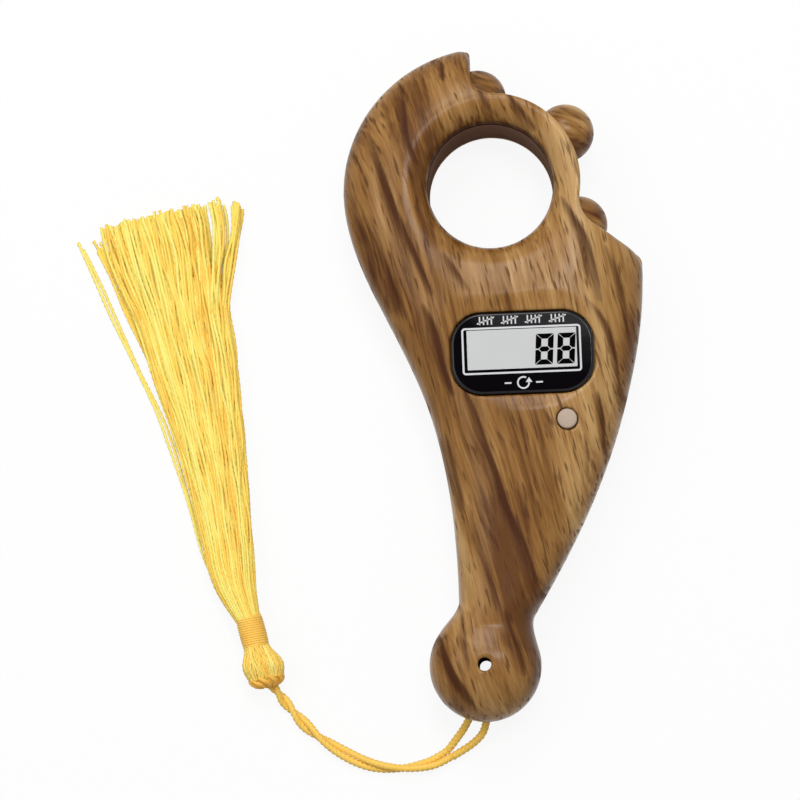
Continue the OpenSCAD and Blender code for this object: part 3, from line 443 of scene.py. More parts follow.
def skin(field, low, high, step):
    """The surface of a field as quads: one point in each grid cell that it crosses, moved onto it."""
    axes = [np.arange(a, b + step, step) for a, b in zip(low, high)]
    value = field(axes[0][:, None, None], axes[1][None, :, None], axes[2][None, None, :])
    cells = np.array(value.shape) - 1
    flat = np.array([cells[1] * cells[2], cells[2], 1])
    where, total, quads = [], [], []
    for axis in range(3):
        a = np.take(value, np.arange(value.shape[axis] - 1), axis)
        b = np.take(value, np.arange(1, value.shape[axis]), axis)
        crossed = np.argwhere((a < 0) != (b < 0))
        va, vb = a[tuple(crossed.T)], b[tuple(crossed.T)]
        spot = crossed.astype(float)
        spot[:, axis] += va / (va - vb)
        u, v = (axis + 1) % 3, (axis + 2) % 3
        corner = []
        for du, dv in ((0, 0), (1, 0), (1, 1), (0, 1)):
            cell = crossed.copy()
            cell[:, u] -= du
            cell[:, v] -= dv
            corner.append(cell @ flat)
            where.append(cell @ flat)
            total.append(spot)
        quad = np.stack(corner, -1)
        quads.append(np.where((va < 0)[:, None], quad, quad[:, ::-1]))
    where, total, quads = np.concatenate(where), np.concatenate(total), np.concatenate(quads)
    used, index = np.unique(where, return_inverse=True)
    count = np.bincount(index)
    points = np.stack([np.bincount(index, total[:, i]) / count for i in range(3)], -1)
    points = points * step + np.asarray(low)
    for _ in range(3):
        e = 0.02
        at = field(*points.T)
        slope = [(field(*(points + e * d).T) - field(*(points - e * d).T)) / (2 * e) for d in np.eye(3)]
        slope = np.stack(slope, -1)
        move = -at[:, None] * slope / np.maximum((slope ** 2).sum(1), 0.05)[:, None]
        size = np.linalg.norm(move, axis=1)[:, None]
        points = points + move * np.minimum(1, 0.4 * step / np.maximum(size, 1e-9))
    return points, np.searchsorted(used, quads)


# Materials
class Nodes:
    """A tree's nodes, made one call at a time. Values may be numbers, colours or sockets."""

    def __init__(self, tree):
        self.tree = tree

    def put(self, socket, value):
        if isinstance(value, bpy.types.NodeSocket):
            self.tree.links.new(value, socket)
        else:
            socket.default_value = value

    def node(self, kind, inputs, out=0, **settings):
        made = self.tree.nodes.new("ShaderNode" + kind)
        for key, value in settings.items():
            setattr(made, key, value)
        for key, value in inputs.items():
            self.put(made.inputs[key], value)
        return made.outputs[out]

    def math(self, kind, a, b=0.0, c=0.0):
        return self.node("Math", {0: a, 1: b, 2: c}, operation=kind)

    def shown(self):
        """1 for a ray from the camera, direct, mirrored or through glass, and 0 for other rays."""
        rays = self.tree.nodes.new("ShaderNodeLightPath").outputs
        shown = self.math("MAXIMUM", rays["Is Camera Ray"], rays["Is Glossy Ray"])
        return self.math("MAXIMUM", shown, rays["Is Transmission Ray"])


class Shader(Nodes):
    """A material's nodes."""

    def __init__(self, name):
        self.material = bpy.data.materials.new(name)
        self.material.use_nodes = True
        super().__init__(self.material.node_tree)
        self.surface = self.tree.nodes["Principled BSDF"]

    def attribute(self, name):
        return self.node("Attribute", {}, out="Fac", attribute_name=name)

    def moved(self, noise, share, base):
        """The base moved up and down by a share of a noise about its middle."""
        return self.math("MULTIPLY_ADD", self.math("SUBTRACT", noise, 0.5), share, base)

    def stretch(self, vector, scale):
        return self.node("VectorMath", {0: vector, 1: scale}, operation="MULTIPLY")

    def noise(self, vector, detail, rough, scale=1.0):
        return self.node("TexNoise", {"Vector": vector, "Scale": scale, "Detail": detail, "Roughness": rough})

    def span(self, value, low, high, to_low=0.0, to_high=1.0):
        limits = {0: value, 1: low, 2: high, 3: to_low, 4: to_high}
        return self.node("MapRange", limits, interpolation_type="SMOOTHSTEP")

    def blend(self, share, a, b):
        made = self.tree.nodes.new("ShaderNodeMix")
        made.data_type = "RGBA"
        self.put(made.inputs[0], share)
        self.put(made.inputs[6], a)
        self.put(made.inputs[7], b)
        return made.outputs[2]

    def bump(self, height, strength, depth):
        self.put(self.surface.inputs["Normal"],
                 self.node("Bump", {"Height": height, "Strength": strength, "Distance": depth * MM}))

    def finish(self, **values):
        for key, value in values.items():
            self.put(self.surface.inputs[key.replace("_", " ")], value)
        return self.material


def srgb(r, g, b):
    """A colour as the photograph's editor shows it, in the numbers that a shader takes."""
    lin = [c / 255 / 12.92 if c / 255 <= 0.04045 else ((c / 255 + 0.055) / 1.055) ** 2.4 for c in (r, g, b)]
    return (*lin, 1.0)


def wood(name, turn, shift=(0, 0, 0), marked=False, fine=1.0, bold=0.6, deep=0.0):
    """Printed wood grain: broad tones, dark bands, fine streaks and short dark flecks along one direction."""
    s = Shader(name)
    at = s.node("TexCoord", {}, out="Object")
    grain = s.node("Mapping", {"Vector": at, "Rotation": (0, 0, math.radians(turn)), "Location": shift})
    sway = s.noise(s.stretch(grain, (45, 22, 45)), 2.0, 0.5)
    grain = s.node("VectorMath", {0: sway, 1: (0.006, 0, 0), 2: grain}, operation="MULTIPLY_ADD")
    broad = s.noise(s.stretch(grain, (110 * fine, 11, 70)), 2.0, 0.5)
    streak = s.noise(s.stretch(grain, (760 * fine, 42, 230)), 3.0, 0.6)
    hair = s.noise(s.stretch(grain, (2400 * fine, 150, 500)), 2.0, 0.6)
    fleck = s.noise(s.stretch(grain, (2000 * fine, 230, 500)), 1.0, 0.5)
    dash = s.noise(s.stretch(grain, (850 * fine, 70, 300)), 2.0, 0.55)
    tone = s.moved(broad, 1.4, 0.5 - deep)
    tone = s.moved(streak, bold, tone)
    tone = s.moved(hair, 0.35, tone)
    # The marked broad zones darken the tone: partly the grain's broad tone, partly painted shade on the
    # flanks and neck.
    if marked:
        tone = s.math("MULTIPLY_ADD", s.attribute("grain_and_shade_zone"), -0.27, tone)
    ramp = s.tree.nodes.new("ShaderNodeValToRGB")
    s.put(ramp.inputs[0], tone)
    stops = [(0.24, srgb(100, 60, 20)), (0.40, srgb(140, 97, 46)),
             (0.54, srgb(163, 120, 67)), (0.74, srgb(194, 154, 99))]
    while len(ramp.color_ramp.elements) < len(stops):
        ramp.color_ramp.elements.new(0.5)
    for element, (where, colour) in zip(ramp.color_ramp.elements, stops):
        element.position, element.color = where, colour
    dark = s.math("MAXIMUM", s.span(fleck, 0.56, 0.73, 0.0, 0.68), s.span(dash, 0.60, 0.75, 0.0, 0.72))
    # The marked bands are the grain's dark bands and also the painted shade in the finger hole's mouth.
    if marked:
        broken = s.moved(hair, -0.3, s.moved(streak, -0.9, s.attribute("band")))
        dark = s.math("MAXIMUM", dark, s.span(broken, 0.05, 1.0))
    colour = s.blend(s.math("MINIMUM", dark, 0.9), ramp.outputs[0], srgb(62, 27, 6))
    s.bump(s.math("MULTIPLY_ADD", streak, 0.5, s.math("MULTIPLY", dark, -0.6)), 0.1, 0.1)
    rough = s.math("MULTIPLY_ADD", dark, 0.5, s.math("MULTIPLY_ADD", hair, 0.10, 0.20))
    return s.finish(Base_Color=colour, Roughness=rough, Specular_IOR_Level=0.18)


def moulded(name, colour, rough, mottle, **more):
    """Moulded plastic or similar: one colour with faint unevenness and a fine texture."""
    s = Shader(name)
    at = s.node("TexCoord", {}, out="Object")
    cloud = s.noise(at, 3.0, 0.6, 160.0)
    fine = s.noise(at, 2.0, 0.5, 5400.0)
    shade = s.span(cloud, 0.25, 0.75, 1 - mottle, 1 + mottle)
    made = s.node("VectorMath", {0: colour[:3], 3: shade}, operation="SCALE")
    s.bump(fine, 0.12, 0.03)
    return s.finish(Base_Color=made, Roughness=s.span(cloud, 0.2, 0.8, rough * 0.85, rough * 1.15), **more)


def metal(name, colour, rough):
    """Plated sheet or turned metal with fine drawn lines."""
    s = Shader(name)
    at = s.node("TexCoord", {}, out="Object")
    line = s.noise(s.stretch(at, (400, 6000, 6000)), 3.0, 0.6)
    shade = s.span(line, 0.3, 0.7, 0.9, 1.06)
    made = s.node("VectorMath", {0: colour[:3], 3: shade}, operation="SCALE")
    dull = s.span(line, 0.2, 0.8, rough * 0.8, rough * 1.25)
    return s.finish(Base_Color=made, Metallic=1.0, Roughness=dull)


def yarn(name, low, mid, high, toned=False):
    """Glossy yarn: fibres along the thread, and a tone for each thread."""
    s = Shader(name)
    at = s.node("TexCoord", {}, out="Object")
    cloud = s.noise(at, 2.0, 0.5, 260.0)
    fibre = s.noise(at, 3.0, 0.6, 5200.0)
    tone = s.math("MULTIPLY_ADD", fibre, 0.35, s.math("MULTIPLY", cloud, 0.4))
    tone = s.math("MULTIPLY_ADD", s.attribute("tone") if toned else 0.5, 0.5, tone)
    colour = s.blend(s.span(tone, 0.3, 0.62), low, mid)
    colour = s.blend(s.span(tone, 0.62, 0.95), colour, high)
    s.bump(fibre, 0.25, 0.05)
    return s.finish(Base_Color=colour, Roughness=0.5, Specular_IOR_Level=0.35,
                    Sheen_Weight=0.2, Sheen_Roughness=0.5, Sheen_Tint=high)


# Stage: lamps are named with place, target, size and power, in metres and watts
WORLD_LIGHT = 0.33
FLOOR_SEEN, FLOOR_BOUNCE = (0.92, 0.92, 0.92, 1), (0.4, 0.4, 0.4, 1)
LAMPS = [
    ("key", (-0.03, 0.37, 0.54), (0.0, -0.03, 0.0), (0.28, 0.28), 1.4),
    ("sheen", (0.12, 0.137, 0.66), (0.12, -0.03, 0.0), (0.30, 0.13), 1.42),
    ("fill", (-0.35, 0.05, 0.5), (0.0, -0.03, 0.0), (0.4, 0.4), 0.82),
]


def make_stage():
    """Plain pale floor, white surroundings and soft lamps."""
    scene = bpy.context.scene
    scene.view_settings.view_transform = "Standard"
    world = bpy.data.worlds.new("studio")
    scene.world = world
    world.use_nodes = True
    world.node_tree.nodes.clear()
    sky = Nodes(world.node_tree)
    strength = sky.node("MapRange", {0: sky.shown(), 3: WORLD_LIGHT, 4: 1.0})
    light = sky.node("Background", {"Color": (1, 1, 1, 1), "Strength": strength})
    sky.put(sky.tree.nodes.new("ShaderNodeOutputWorld").inputs["Surface"], light)

    mesh = bpy.data.meshes.new("floor")
    w, z = 3.0, (-BACK_H - 0.03) * MM
    mesh.from_pydata([(-w, -w, z), (w, -w, z), (w, w, z), (-w, w, z)], [], [(0, 1, 2, 3)])
    floor = bpy.data.objects.new("floor", mesh)
    scene.collection.objects.link(floor)
    s = Shader("floor_paper")
    direct = s.node("LightPath", {}, out="Is Camera Ray")
    s.finish(Base_Color=s.blend(direct, FLOOR_BOUNCE, FLOOR_SEEN), Roughness=0.9)
    glow = s.node("Emission", {"Color": (1, 1, 1, 1), "Strength": 1.0})
    mixed = s.node("MixShader", {0: s.math("MULTIPLY", s.shown(), 0.9), 1: s.surface.outputs[0], 2: glow})
    s.put(s.tree.nodes["Material Output"].inputs["Surface"], mixed)
    floor.data.materials.append(s.material)

    for name, stand, target, size, power in LAMPS:
        data = bpy.data.lights.new(name, "AREA")
        data.shape, data.size, data.size_y, data.energy = "ELLIPSE", *size, power
        lamp = bpy.data.objects.new(name, data)
        lamp.location = stand
        lamp.rotation_euler = (Vector(target) - Vector(stand)).to_track_quat("-Z", "Y").to_euler()
        scene.collection.objects.link(lamp)


# Cord and tassel
LEG_LEFT = [(-10.5, -92, -6.2), (-9, -90.2, -5.2), (-7.6, -88.4, -3.8), (-6.8, -86.6, -3.1), (-6.8, -83, -3)]
LEG_RIGHT = [(-1.4, -82, -3), (-3.8, -85, -3), (-4, -87.4, -3.2), (-4.8, -89.6, -4.4), (-6.8, -91.4, -5.6),
             (-9.9, -93.2, -6.2)]
LOOP_R = 3.105
LOOP_TURN = [(BULB_X + LOOP_R * math.cos(math.radians(a)), -BULB_Y + LOOP_R * math.sin(math.radians(a)), -3)
             for a in range(180, -1, -30)]
PAIR = [(-10.2, -92.6, -6.2), (-13.6, -94.2, -6.3), (-18.6, -94.8, -6.3), (-23.6, -94, -6.3),
        (-28.4, -91.6, -6.3), (-33.2, -88, -6.3), (-37, -83.6, -6.2), (-39.4, -80.2, -5)]
ALONG = np.array([math.cos(math.radians(TASSEL_TURN)), math.sin(math.radians(TASSEL_TURN)), 0])
ACROSS = np.array([ALONG[1], -ALONG[0], 0])
UP = np.array([0.0, 0, 1])
STRAND_R, STRAND_SIDES = 0.68, 24


def make_cords(material):
    """The doubled cord: one strand through the round end, then its two legs laid together."""
    loop = even(spline(LEG_LEFT + LOOP_TURN + LEG_RIGHT, 8), 0.25)
    single = tube(loop, STRAND_R, STRAND_SIDES, lobes=3, depth=0.12, pitch=2.5)
    strand = piece("cord_strand", *single, "counter", "yarn_yellow", "cord_loop")
    pair = even(spline(PAIR, 12), 0.25)
    a, b = frames(pair, (0, 0, 1))
    s = along(pair)
    turns = 2 * np.pi * (s / 34.0 + np.clip(s / s[-1] - 0.55, 0, 1) ** 2 * 5.0)
    apart = np.interp(s / s[-1], [0, 0.1, 0.7, 1], [0.6, 0.6, 0.55, 0.38])[:, None]
    parts = []
    for half in (0, np.pi):
        phase = (turns + half + np.pi / 2)[:, None]
        middle = pair + apart * (np.cos(phase) * a + np.sin(phase) * b)
        thick = np.interp(s / s[-1], [0, 0.7, 1], [0.64, 0.62, 0.52])
        parts.append(tube(middle, thick, STRAND_SIDES, lobes=3, depth=0.12, pitch=2.4, start=half))
    rope = piece("cord_pair", *join(parts), "counter", "yarn_yellow", "tassel_cord")
    dress(strand, material)
    dress(rope, material)


def aside(s):
    """How far the tassel's bent line stands beside its straight one."""
    return np.interp(s, [-3.4, 0, 3.4, 8.6], [0.45, 0.25, -0.2, -0.5])


def tassel_point(s, out, turn):
    """A point round the tassel's own line: s along it, out from it at an angle."""
    s, out, turn = np.broadcast_arrays(np.asarray(s, float), out, turn)
    return (TASSEL_AT + s[..., None] * ALONG + (aside(s) + out * np.cos(turn))[..., None] * ACROSS
            + (out * np.sin(turn))[..., None] * UP)


def tassel_core(profile, sides):
    """A turned solid along the tassel's line."""
    points, faces = turned(profile, sides)
    out, turn = np.hypot(points[:, 0], points[:, 1]), np.arctan2(points[:, 1], points[:, 0])
    return tassel_point(points[:, 2], out, turn), faces


# The head's distance along the tassel's line, and its radius there
HEAD_PROFILE = np.array([
    (-3.4, 0.0), (-3.36, 0.9), (-3.1, 1.75), (-2.6, 2.4), (-2.05, 2.72), (-1.75, 2.82), (-1.0, 3.1),
    (-0.1, 3.27), (0.8, 3.12), (1.6, 2.72), (2.4, 2.28), (3.0, 2.02), (3.5, 1.95)])
HEAD_THREADS, CAP_LOBES = 58, 10
LEAN = ALONG + UP * 0.3


def make_head(material, cap_material):
    """The knotted ball: threads from the cap at the cord to the binding, over a core."""
    rng = np.random.default_rng(11)
    s = np.linspace(-2.2, 3.6, 26)
    r = np.interp(s, HEAD_PROFILE[:, 0], HEAD_PROFILE[:, 1])
    parts, tones = [], []
    for i in range(HEAD_THREADS):
        around = 2 * np.pi * (i + rng.uniform(-0.2, 0.2)) / HEAD_THREADS
        turn = around + 0.10 * np.sin(s * 0.9 + rng.uniform(0, 6))
        path = tassel_point(s, r + rng.uniform(-0.06, 0.08), turn)
        made = tube(path, 0.2 + 0.03 * rng.random(), 7, first=LEAN, lobes=2, depth=0.12, pitch=1.6)
        parts.append(made)
        tones.append(np.full(len(made[0]), rng.random()))
    inner = [(max(q - 0.12, 0.05), z) for z, q in HEAD_PROFILE[1:]]
    core = tassel_core([(0, HEAD_PROFILE[0, 0]), *inner, (0, HEAD_PROFILE[-1, 0])], 48)
    parts.append(core)
    tones.append(np.full(len(core[0]), 0.3))
    head = dress(piece("tassel_ball", *join(parts), "counter", "yarn_yellow", "tassel_head"), material)
    mark(head, "tone", np.concatenate(tones))
    parts = []
    t = np.linspace(0, 1, 16)
    for i in range(CAP_LOBES):
        turn = 2 * np.pi * i / CAP_LOBES + 0.7 * t
        zs = -3.3 + 1.45 * t
        out = np.interp(zs, HEAD_PROFILE[:, 0], HEAD_PROFILE[:, 1]) + 0.12 * np.sin(np.pi * t)
        thick = 0.42 * (0.55 + 0.45 * np.sin(np.pi * np.clip(t * 0.8 + 0.2, 0, 1)))
        parts.append(tube(tassel_point(zs, out, turn), thick, 12, first=LEAN, lobes=3, depth=0.06, pitch=1.8))
    dress(piece("tassel_cap", *join(parts), "counter", "yarn_yellow"), cap_material)


def make_binding(material):
    """Thread wound tightly round the tassel's neck."""
    turns, radius = 13, 0.24
    t = np.linspace(0, 1, turns * 30)
    s = KNOT_END + radius * 0.6 + (BINDING_LEN - radius * 1.2) * t
    out = BINDING_R - radius - 0.12 + 0.12 * np.sin(np.pi * t) ** 0.5
    path = tassel_point(s, out, 2 * np.pi * turns * t)
    wound = tube(path, radius, 10, first=ALONG, lobes=2, depth=0.1, pitch=1.5)
    low, high = KNOT_END + 0.05, KNOT_END + BINDING_LEN
    core = tassel_core([(0, low), (1.9, low), (2.02, KNOT_END + 1),
                        (2.02, high - 0.6), (1.9, high), (0, high)], 40)
    dress(piece("tassel_wrap", *join([wound, core]), "counter", "yarn_yellow", "tassel_binding"), material)


# The skirt's edges on the table: distance from the head's middle, left edge and right edge
SKIRT_EDGES = np.array([
    (7.9, -2.55, 1.3), (13, -4.6, 1.55), (17, -5.45, 2.1), (21, -5.6, 2.7), (31, -5.9, 3.8), (41, -6.9, 5.0),
    (50, -8.0, 6.0), (61, -9.3, 6.8), (69, -10.5, 8.3), (76.5, -11.7, 11.2), (80, -12.1, 12.2)])
# Where the threads' ends stand, from the left edge (-1) to the right edge (1): two locks part from the rest
LOCKS = np.array([(-1, -11.9), (0.64, 5.2), (0.65, 7.0), (0.81, 8.7), (0.82, 10.8), (1, 12.3)])
# Two bundles of stray threads beside the skirt, and how far each thread lies from its bundle's line
STRAYS = [
    [(-46.4, -66.2, -5.2), (-49.4, -60, -6.1), (-50.8, -56, -6.6), (-51.9, -51.9, -6.8), (-53.9, -44.8, -7.0),
     (-57, -34.8, -7.1), (-61, -25.9, -7.1), (-64.4, -18.1, -7.1), (-67.2, -11.1, -7.1), (-70.3, -4.1, -7.1)],
    [(-46.0, -66.1, -5), (-48.8, -59.9, -5.9), (-51.0, -51.8, -6.6), (-52.6, -43.8, -6.9),
     (-56.4, -32.7, -7.0), (-59.4, -24.1, -7.1), (-62.3, -17.3, -7.1), (-64.9, -10.7, -7.1),
     (-68.1, -4.5, -7.1)],
]
STRAYS_BESIDE = [(-0.2, 0.3), (0.1, 0.5, 0.9, 1.3, 1.7)]
THREADS, SKIRT_END, LOCK_FROM, LOCK_OVER = 352, 77.9, 58, 19


def make_skirt(material):
    """The threads: a round bundle at the binding that spreads and flattens on the table."""
    rng = np.random.default_rng(5)
    edge = spline(SKIRT_EDGES, 8)
    k = np.arange(THREADS) + 0.5
    ring, angle = np.sqrt(k / THREADS), k * np.pi * (3 - math.sqrt(5))
    parts, tones = [], []

    def thread(path):
        radius = np.interp(along(path), [0, 6, 28, 70], [0.18, 0.24, 0.29, 0.32])
        made = tube(path, radius, 7, first=UP, lobes=2, depth=0.16, pitch=2.3,
                    start=rng.uniform(0, 6), flat=0.72)
        parts.append(made)
        tones.append(np.full(len(made[0]), rng.random()))

    for u, v in zip(ring * np.cos(angle), ring * np.sin(angle)):
        end = SKIRT_END + rng.normal(0, 0.4) - 1.6 * max(u - 0.8, 0) / 0.2
        s = np.linspace(SKIRT_EDGES[0, 0], end, 150)
        t = (s - s[0]) / SKIRT_LEN
        left, right = np.interp(s, edge[:, 0], edge[:, 1]), np.interp(s, edge[:, 0], edge[:, 2])
        side = (left + right) / 2 + u * (right - left) / 2
        tip = np.interp(u, LOCKS[:, 0], LOCKS[:, 1])
        side = side + (tip - side) * np.clip((s - LOCK_FROM) / LOCK_OVER, 0, 1) ** 2
        for _ in range(2):
            swing = rng.uniform(0.08, 0.2)
            wave = np.sin(2 * np.pi * (s / rng.uniform(9, 26) + rng.random()))
            side = side + swing * wave * np.clip(t * 3, 0, 1)
        thick = np.interp(t, [0, 0.35, 1.1], [2.0, 1.95, 1.4])
        middle = np.interp(t, [0, 0.3, 1.1], [TASSEL_AT[2], 2.05 - BACK_H, 1.45 - BACK_H])
        z = middle + v * thick + 0.15 * t * np.sin(2 * np.pi * (s / rng.uniform(14, 30) + rng.random()))
        z = np.maximum(z, 0.34 - BACK_H)
        thread(TASSEL_AT * (1, 1, 0) + s[:, None] * ALONG + side[:, None] * ACROSS + z[:, None] * UP)
    for stray, beside in zip(STRAYS, STRAYS_BESIDE):
        for offset in beside:
            path = even(spline(stray, 20), 0.5)
            path = path[:len(path) - int(rng.integers(0, 5))]
            wave = offset + 0.12 * np.sin(np.linspace(0, rng.uniform(12, 20), len(path)) + rng.uniform(0, 6))
            thread(path + wave[:, None] * ACROSS + rng.uniform(0, 0.3) * UP)
    skirt = dress(piece("tassel_threads", *join(parts), "counter", "yarn_yellow", "tassel_skirt"), material)
    mark(skirt, "tone", np.concatenate(tones))


# Body, wheel and fittings
# Dark bands of the grain on the face: points, half width and depth.
# Those wider than ZONE_WIDTH are broad zones: partly the grain's broad tone, partly painted shade on the
# flanks and neck.
ZONE_WIDTH = 1.5
BANDS = [
    ([(-20, 10), (-18, 5.5), (-15.5, -2), (-13.5, -7.5), (-11, -13.5), (-9, -18.5)], 0.75, 0.95),
    ([(-7.5, 22), (-7, 20), (-6.5, 17.5)], 0.5, 0.85),
    ([(-14, 18), (-13, 12.5), (-12.5, 8), (-11, 3.5)], 0.6, 0.85),
    ([(-17, 15), (-15.5, 11), (-15, 8)], 0.5, 0.6),
    ([(-20.5, 15), (-23, 7), (-22.8, -1), (-21, -7), (-18.5, -14), (-16, -20.5)], 3.0, 1.0),
    ([(-20, -4), (-18.2, -10), (-15.6, -17.5), (-14, -22)], 0.6, 0.7),
    ([(-1, 16), (0.3, 13), (1.2, 10.5)], 0.5, 0.8),
    ([(3, 15), (5.5, 11.5), (7.5, 8.5)], 0.6, 0.75),
    ([(11, -2.5), (13, -6.5), (15, -10.5), (16, -15.5), (17, -20.5)], 0.8, 0.85),
    ([(13, -7.5), (14.2, -12.5), (14.8, -17)], 0.4, 0.7),
    ([(-7.5, -11), (-5.5, -14.5), (-3.5, -18)], 0.7, 0.75),
    ([(18, -11), (20, -16), (21, -20), (21.7, -26)], 0.8, 0.6),
    ([(-11, -19.5), (-9, -24.5), (-8, -30), (-6.5, -35)], 0.9, 0.9),
    ([(-6, -32), (-4, -35.9), (-2.1, -42.5), (-0.5, -48.2), (0.75, -53.1), (2.8, -58.4), (4.9, -64.6),
      (6.4, -70)], 0.8, 1.0),
    ([(14, -19.5), (17.5, -24), (19, -29.5), (20, -35), (20, -41)], 0.7, 0.75),
    ([(15.6, -35), (16.8, -40), (17, -46)], 0.6, 0.7),
    ([(-8.8, -41), (-7, -48.5), (-6, -54)], 0.7, 0.7),
    ([(-5.2, -53), (-3.5, -60), (-1.5, -67), (0.2, -73)], 0.6, 0.7),
    ([(-0.3, -69), (1.5, -76), (3, -81)], 0.7, 0.75),
    ([(-11, -73), (-9, -78.5), (-7, -82), (-5, -86.5)], 0.8, 0.95),
    ([(-7.2, -68), (-6.5, -73), (-5.5, -80)], 0.5, 0.7),
    ([(13.3, -42), (14, -45.5), (14, -49)], 0.4, 0.6),
    ([(-18.5, -6), (-14.5, -18), (-11.5, -28), (-9, -38)], 2.6, 0.25),
    ([(22, -22), (21, -33), (18, -45), (13, -57)], 2.6, 0.95),
    ([(-0.5, -51), (1.5, -59), (1, -68), (-1, -76)], 6.5, 0.75),
]
# Where the finger hole's mouth gets painted shade, and half the height of the hang hole's wall, which is
# painted dark as shade
MOUTH_OUT, MOUTH_LOW, RIM_SHADE_TOP, SHADE_TOP, HANG_SHADE_HALF = 12.2, 3.5, 4.75, 6.3, 7.6
BODY_STEP = 0.34


def grain_and_shade_tone(points):
    """How dark the narrow bands and the broad tones are at each point.

    Narrow bands are sharper on their right, and the finger hole's mouth gets painted shade, most on its upper
    side.
    """
    # Painted shade down the finger hole's mouth: darker deeper in and on its upper side, darkest at the rim
    # where it meets the lining.
    deep = np.clip((SHADE_TOP - points[:, 2]) / 1.2, 0, 1)
    rho = np.hypot(points[:, 0], points[:, 1])
    upper = np.clip(0.4 + points[:, 1] / np.maximum(rho, 1), 0, 1)
    rim = np.clip(2 * (5 - points[:, 2]), 0, 1)
    mouth = np.maximum(0.8 * upper * deep * deep * (3 - 2 * deep), rim)
    tone = np.where((rho < MOUTH_OUT) & (points[:, 2] > MOUTH_LOW), mouth, 0)
    grain_and_shade_zone = np.zeros(len(points))
    x, y = points[:, 0] - 0.25 * np.abs(points[:, 2] - 5) * np.clip(points[:, 0] / 8, -1, 1), points[:, 1]
    for line, width, depth in BANDS:
        line = spline([(*p, 0) for p in line], 8)[:, :2]
        near, share, right = np.full(len(points), 1e9), np.zeros(len(points)), np.zeros(len(points), bool)
        for i, (a, b) in enumerate(zip(line[:-1], line[1:])):
            e = b - a
            t = np.clip(((x - a[0]) * e[0] + (y - a[1]) * e[1]) / (e @ e), 0, 1)
            d = np.hypot(x - a[0] - t * e[0], y - a[1] - t * e[1])
            share = np.where(d < near, (i + t) / (len(line) - 1), share)
            right = np.where(d < near, e[0] * (y - a[1]) > e[1] * (x - a[0]), right)
            near = np.minimum(near, d)
        taper = np.sqrt(np.clip(4 * share * (1 - share), 0, 1))
        narrow = width < ZONE_WIDTH
        if narrow:
            near = near / np.where(right, 0.6, 2.0)
        made = depth * np.exp(-(near / (width * (0.35 + 0.65 * taper))) ** 2) * (0.4 + 0.6 * taper)
        if narrow:
            tone = np.maximum(tone, made)
        else:
            grain_and_shade_zone = np.maximum(grain_and_shade_zone, made)
    return tone, grain_and_shade_zone


def in_hole(points):
    """Whether each point lies in the hang hole or at the finger hole's inner rim, which stay dull."""
    # These faces take the dark, dull shade material: painted shade on the holes' walls.
    x, y, z = points.T
    hang = (np.hypot(x - BULB_X, y + BULB_Y) < HANG_R + 0.25) & (np.abs(z) < HANG_SHADE_HALF)
    return hang | (np.hypot(x, y) < MOUTH_OUT) & (z > MOUTH_LOW) & (z < RIM_SHADE_TOP)


def make_body(material, shade):
    """Both halves of the body, with the grain's bands marked on their points."""
    for name, field, low, high, node in (
            ("body_front", front_field, (-25.5, -88.8, -0.6), (25.5, 25.5, 9.6), "front_shell"),
            ("body_back", back_field, (-25.5, -88.8, -8.2), (25.5, 25.5, 0.6), "back_shell")):
        points, quads = skin(field, low, high, BODY_STEP)
        made = dress(piece(name, points, quads, "counter", "wood_grain", node), material, shade)
        # The marks carry the grain's bands and painted shade; the faces in the holes get the painted-shade
        # material.
        tone, grain_and_shade_zone = grain_and_shade_tone(points)
        mark(made, "band", tone)
        mark(made, "grain_and_shade_zone", grain_and_shade_zone)
        made.data.polygons.foreach_set("material_index", in_hole(points)[quads].all(1).astype(np.int32))


def make_wheel(bead_material, sleeve_material):
    """The six beads, each flat where it sits on the hub, and the finger hole's lining with its collar."""
    seat = math.degrees(math.acos((BEAD_STAND - 0.02) / BEAD_R))
    arcs = np.radians(np.linspace(seat, 180, 40))
    ball = [(BEAD_R * math.sin(a), -BEAD_R * math.cos(a)) for a in arcs[:-1]]
    profile = [(0, -BEAD_STAND + 0.02), *ball, (0, BEAD_R)]
    profile.insert(1, (profile[1][0] - 0.15, profile[1][1]))
    points, faces = turned(profile, 64)
    outward = points[:, [2, 1, 0]] * (1, 1, -1) + (WHEEL_R, 0, 0)
    for i in range(6):
        spot = spun(outward, WHEEL_TURN + 60 * i)
        made = piece(f"wheel_bead_{i + 1}", spot, faces, "bead_wheel", "bead_grain", f"bead_{i + 1}")
        dress(made, bead_material)
    low, high, collar, under, over = -6.25, 4.04, 12.1, -5.25, -2.75
    ring = rounded_profile([(BORE_R, low), (SLEEVE_R, low), (SLEEVE_R, under), (collar, under),
                            (collar, over), (SLEEVE_R, over), (SLEEVE_R, high), (BORE_R, high)], 0.25, 4)
    points, faces = lathe(ring, 120)
    dress(piece("finger_lining", points, faces, "counter", "dark_plastic", "finger_sleeve"), sleeve_material)


CORNER_STEPS = 14


def outline_box(w, h, r, n=CORNER_STEPS):
    """A rectangle's outline with round corners."""
    return np.concatenate([arc((sx * (w / 2 - r), sy * (h / 2 - r)), r, a, a + 90, n)
                           for sx, sy, a in ((1, 1, 0), (-1, 1, 90), (-1, -1, 180), (1, -1, 270))])


def pillow(w, h, r, profile, about):
    """A slab with round corners; the profile gives inset and height from the bottom's middle to the top's."""
    sides = 4 * CORNER_STEPS
    rows = []
    for inset, z in profile:
        outline = outline_box(w - 2 * inset, h - 2 * inset, max(r - inset, 0.02))
        rows.append(np.column_stack([outline, np.full(sides, z)]))
    points = np.concatenate(rows + [[[0, 0, profile[0][1]], [0, 0, profile[-1][1]]]])
    return points + np.asarray(about), closed_faces(len(rows), sides)


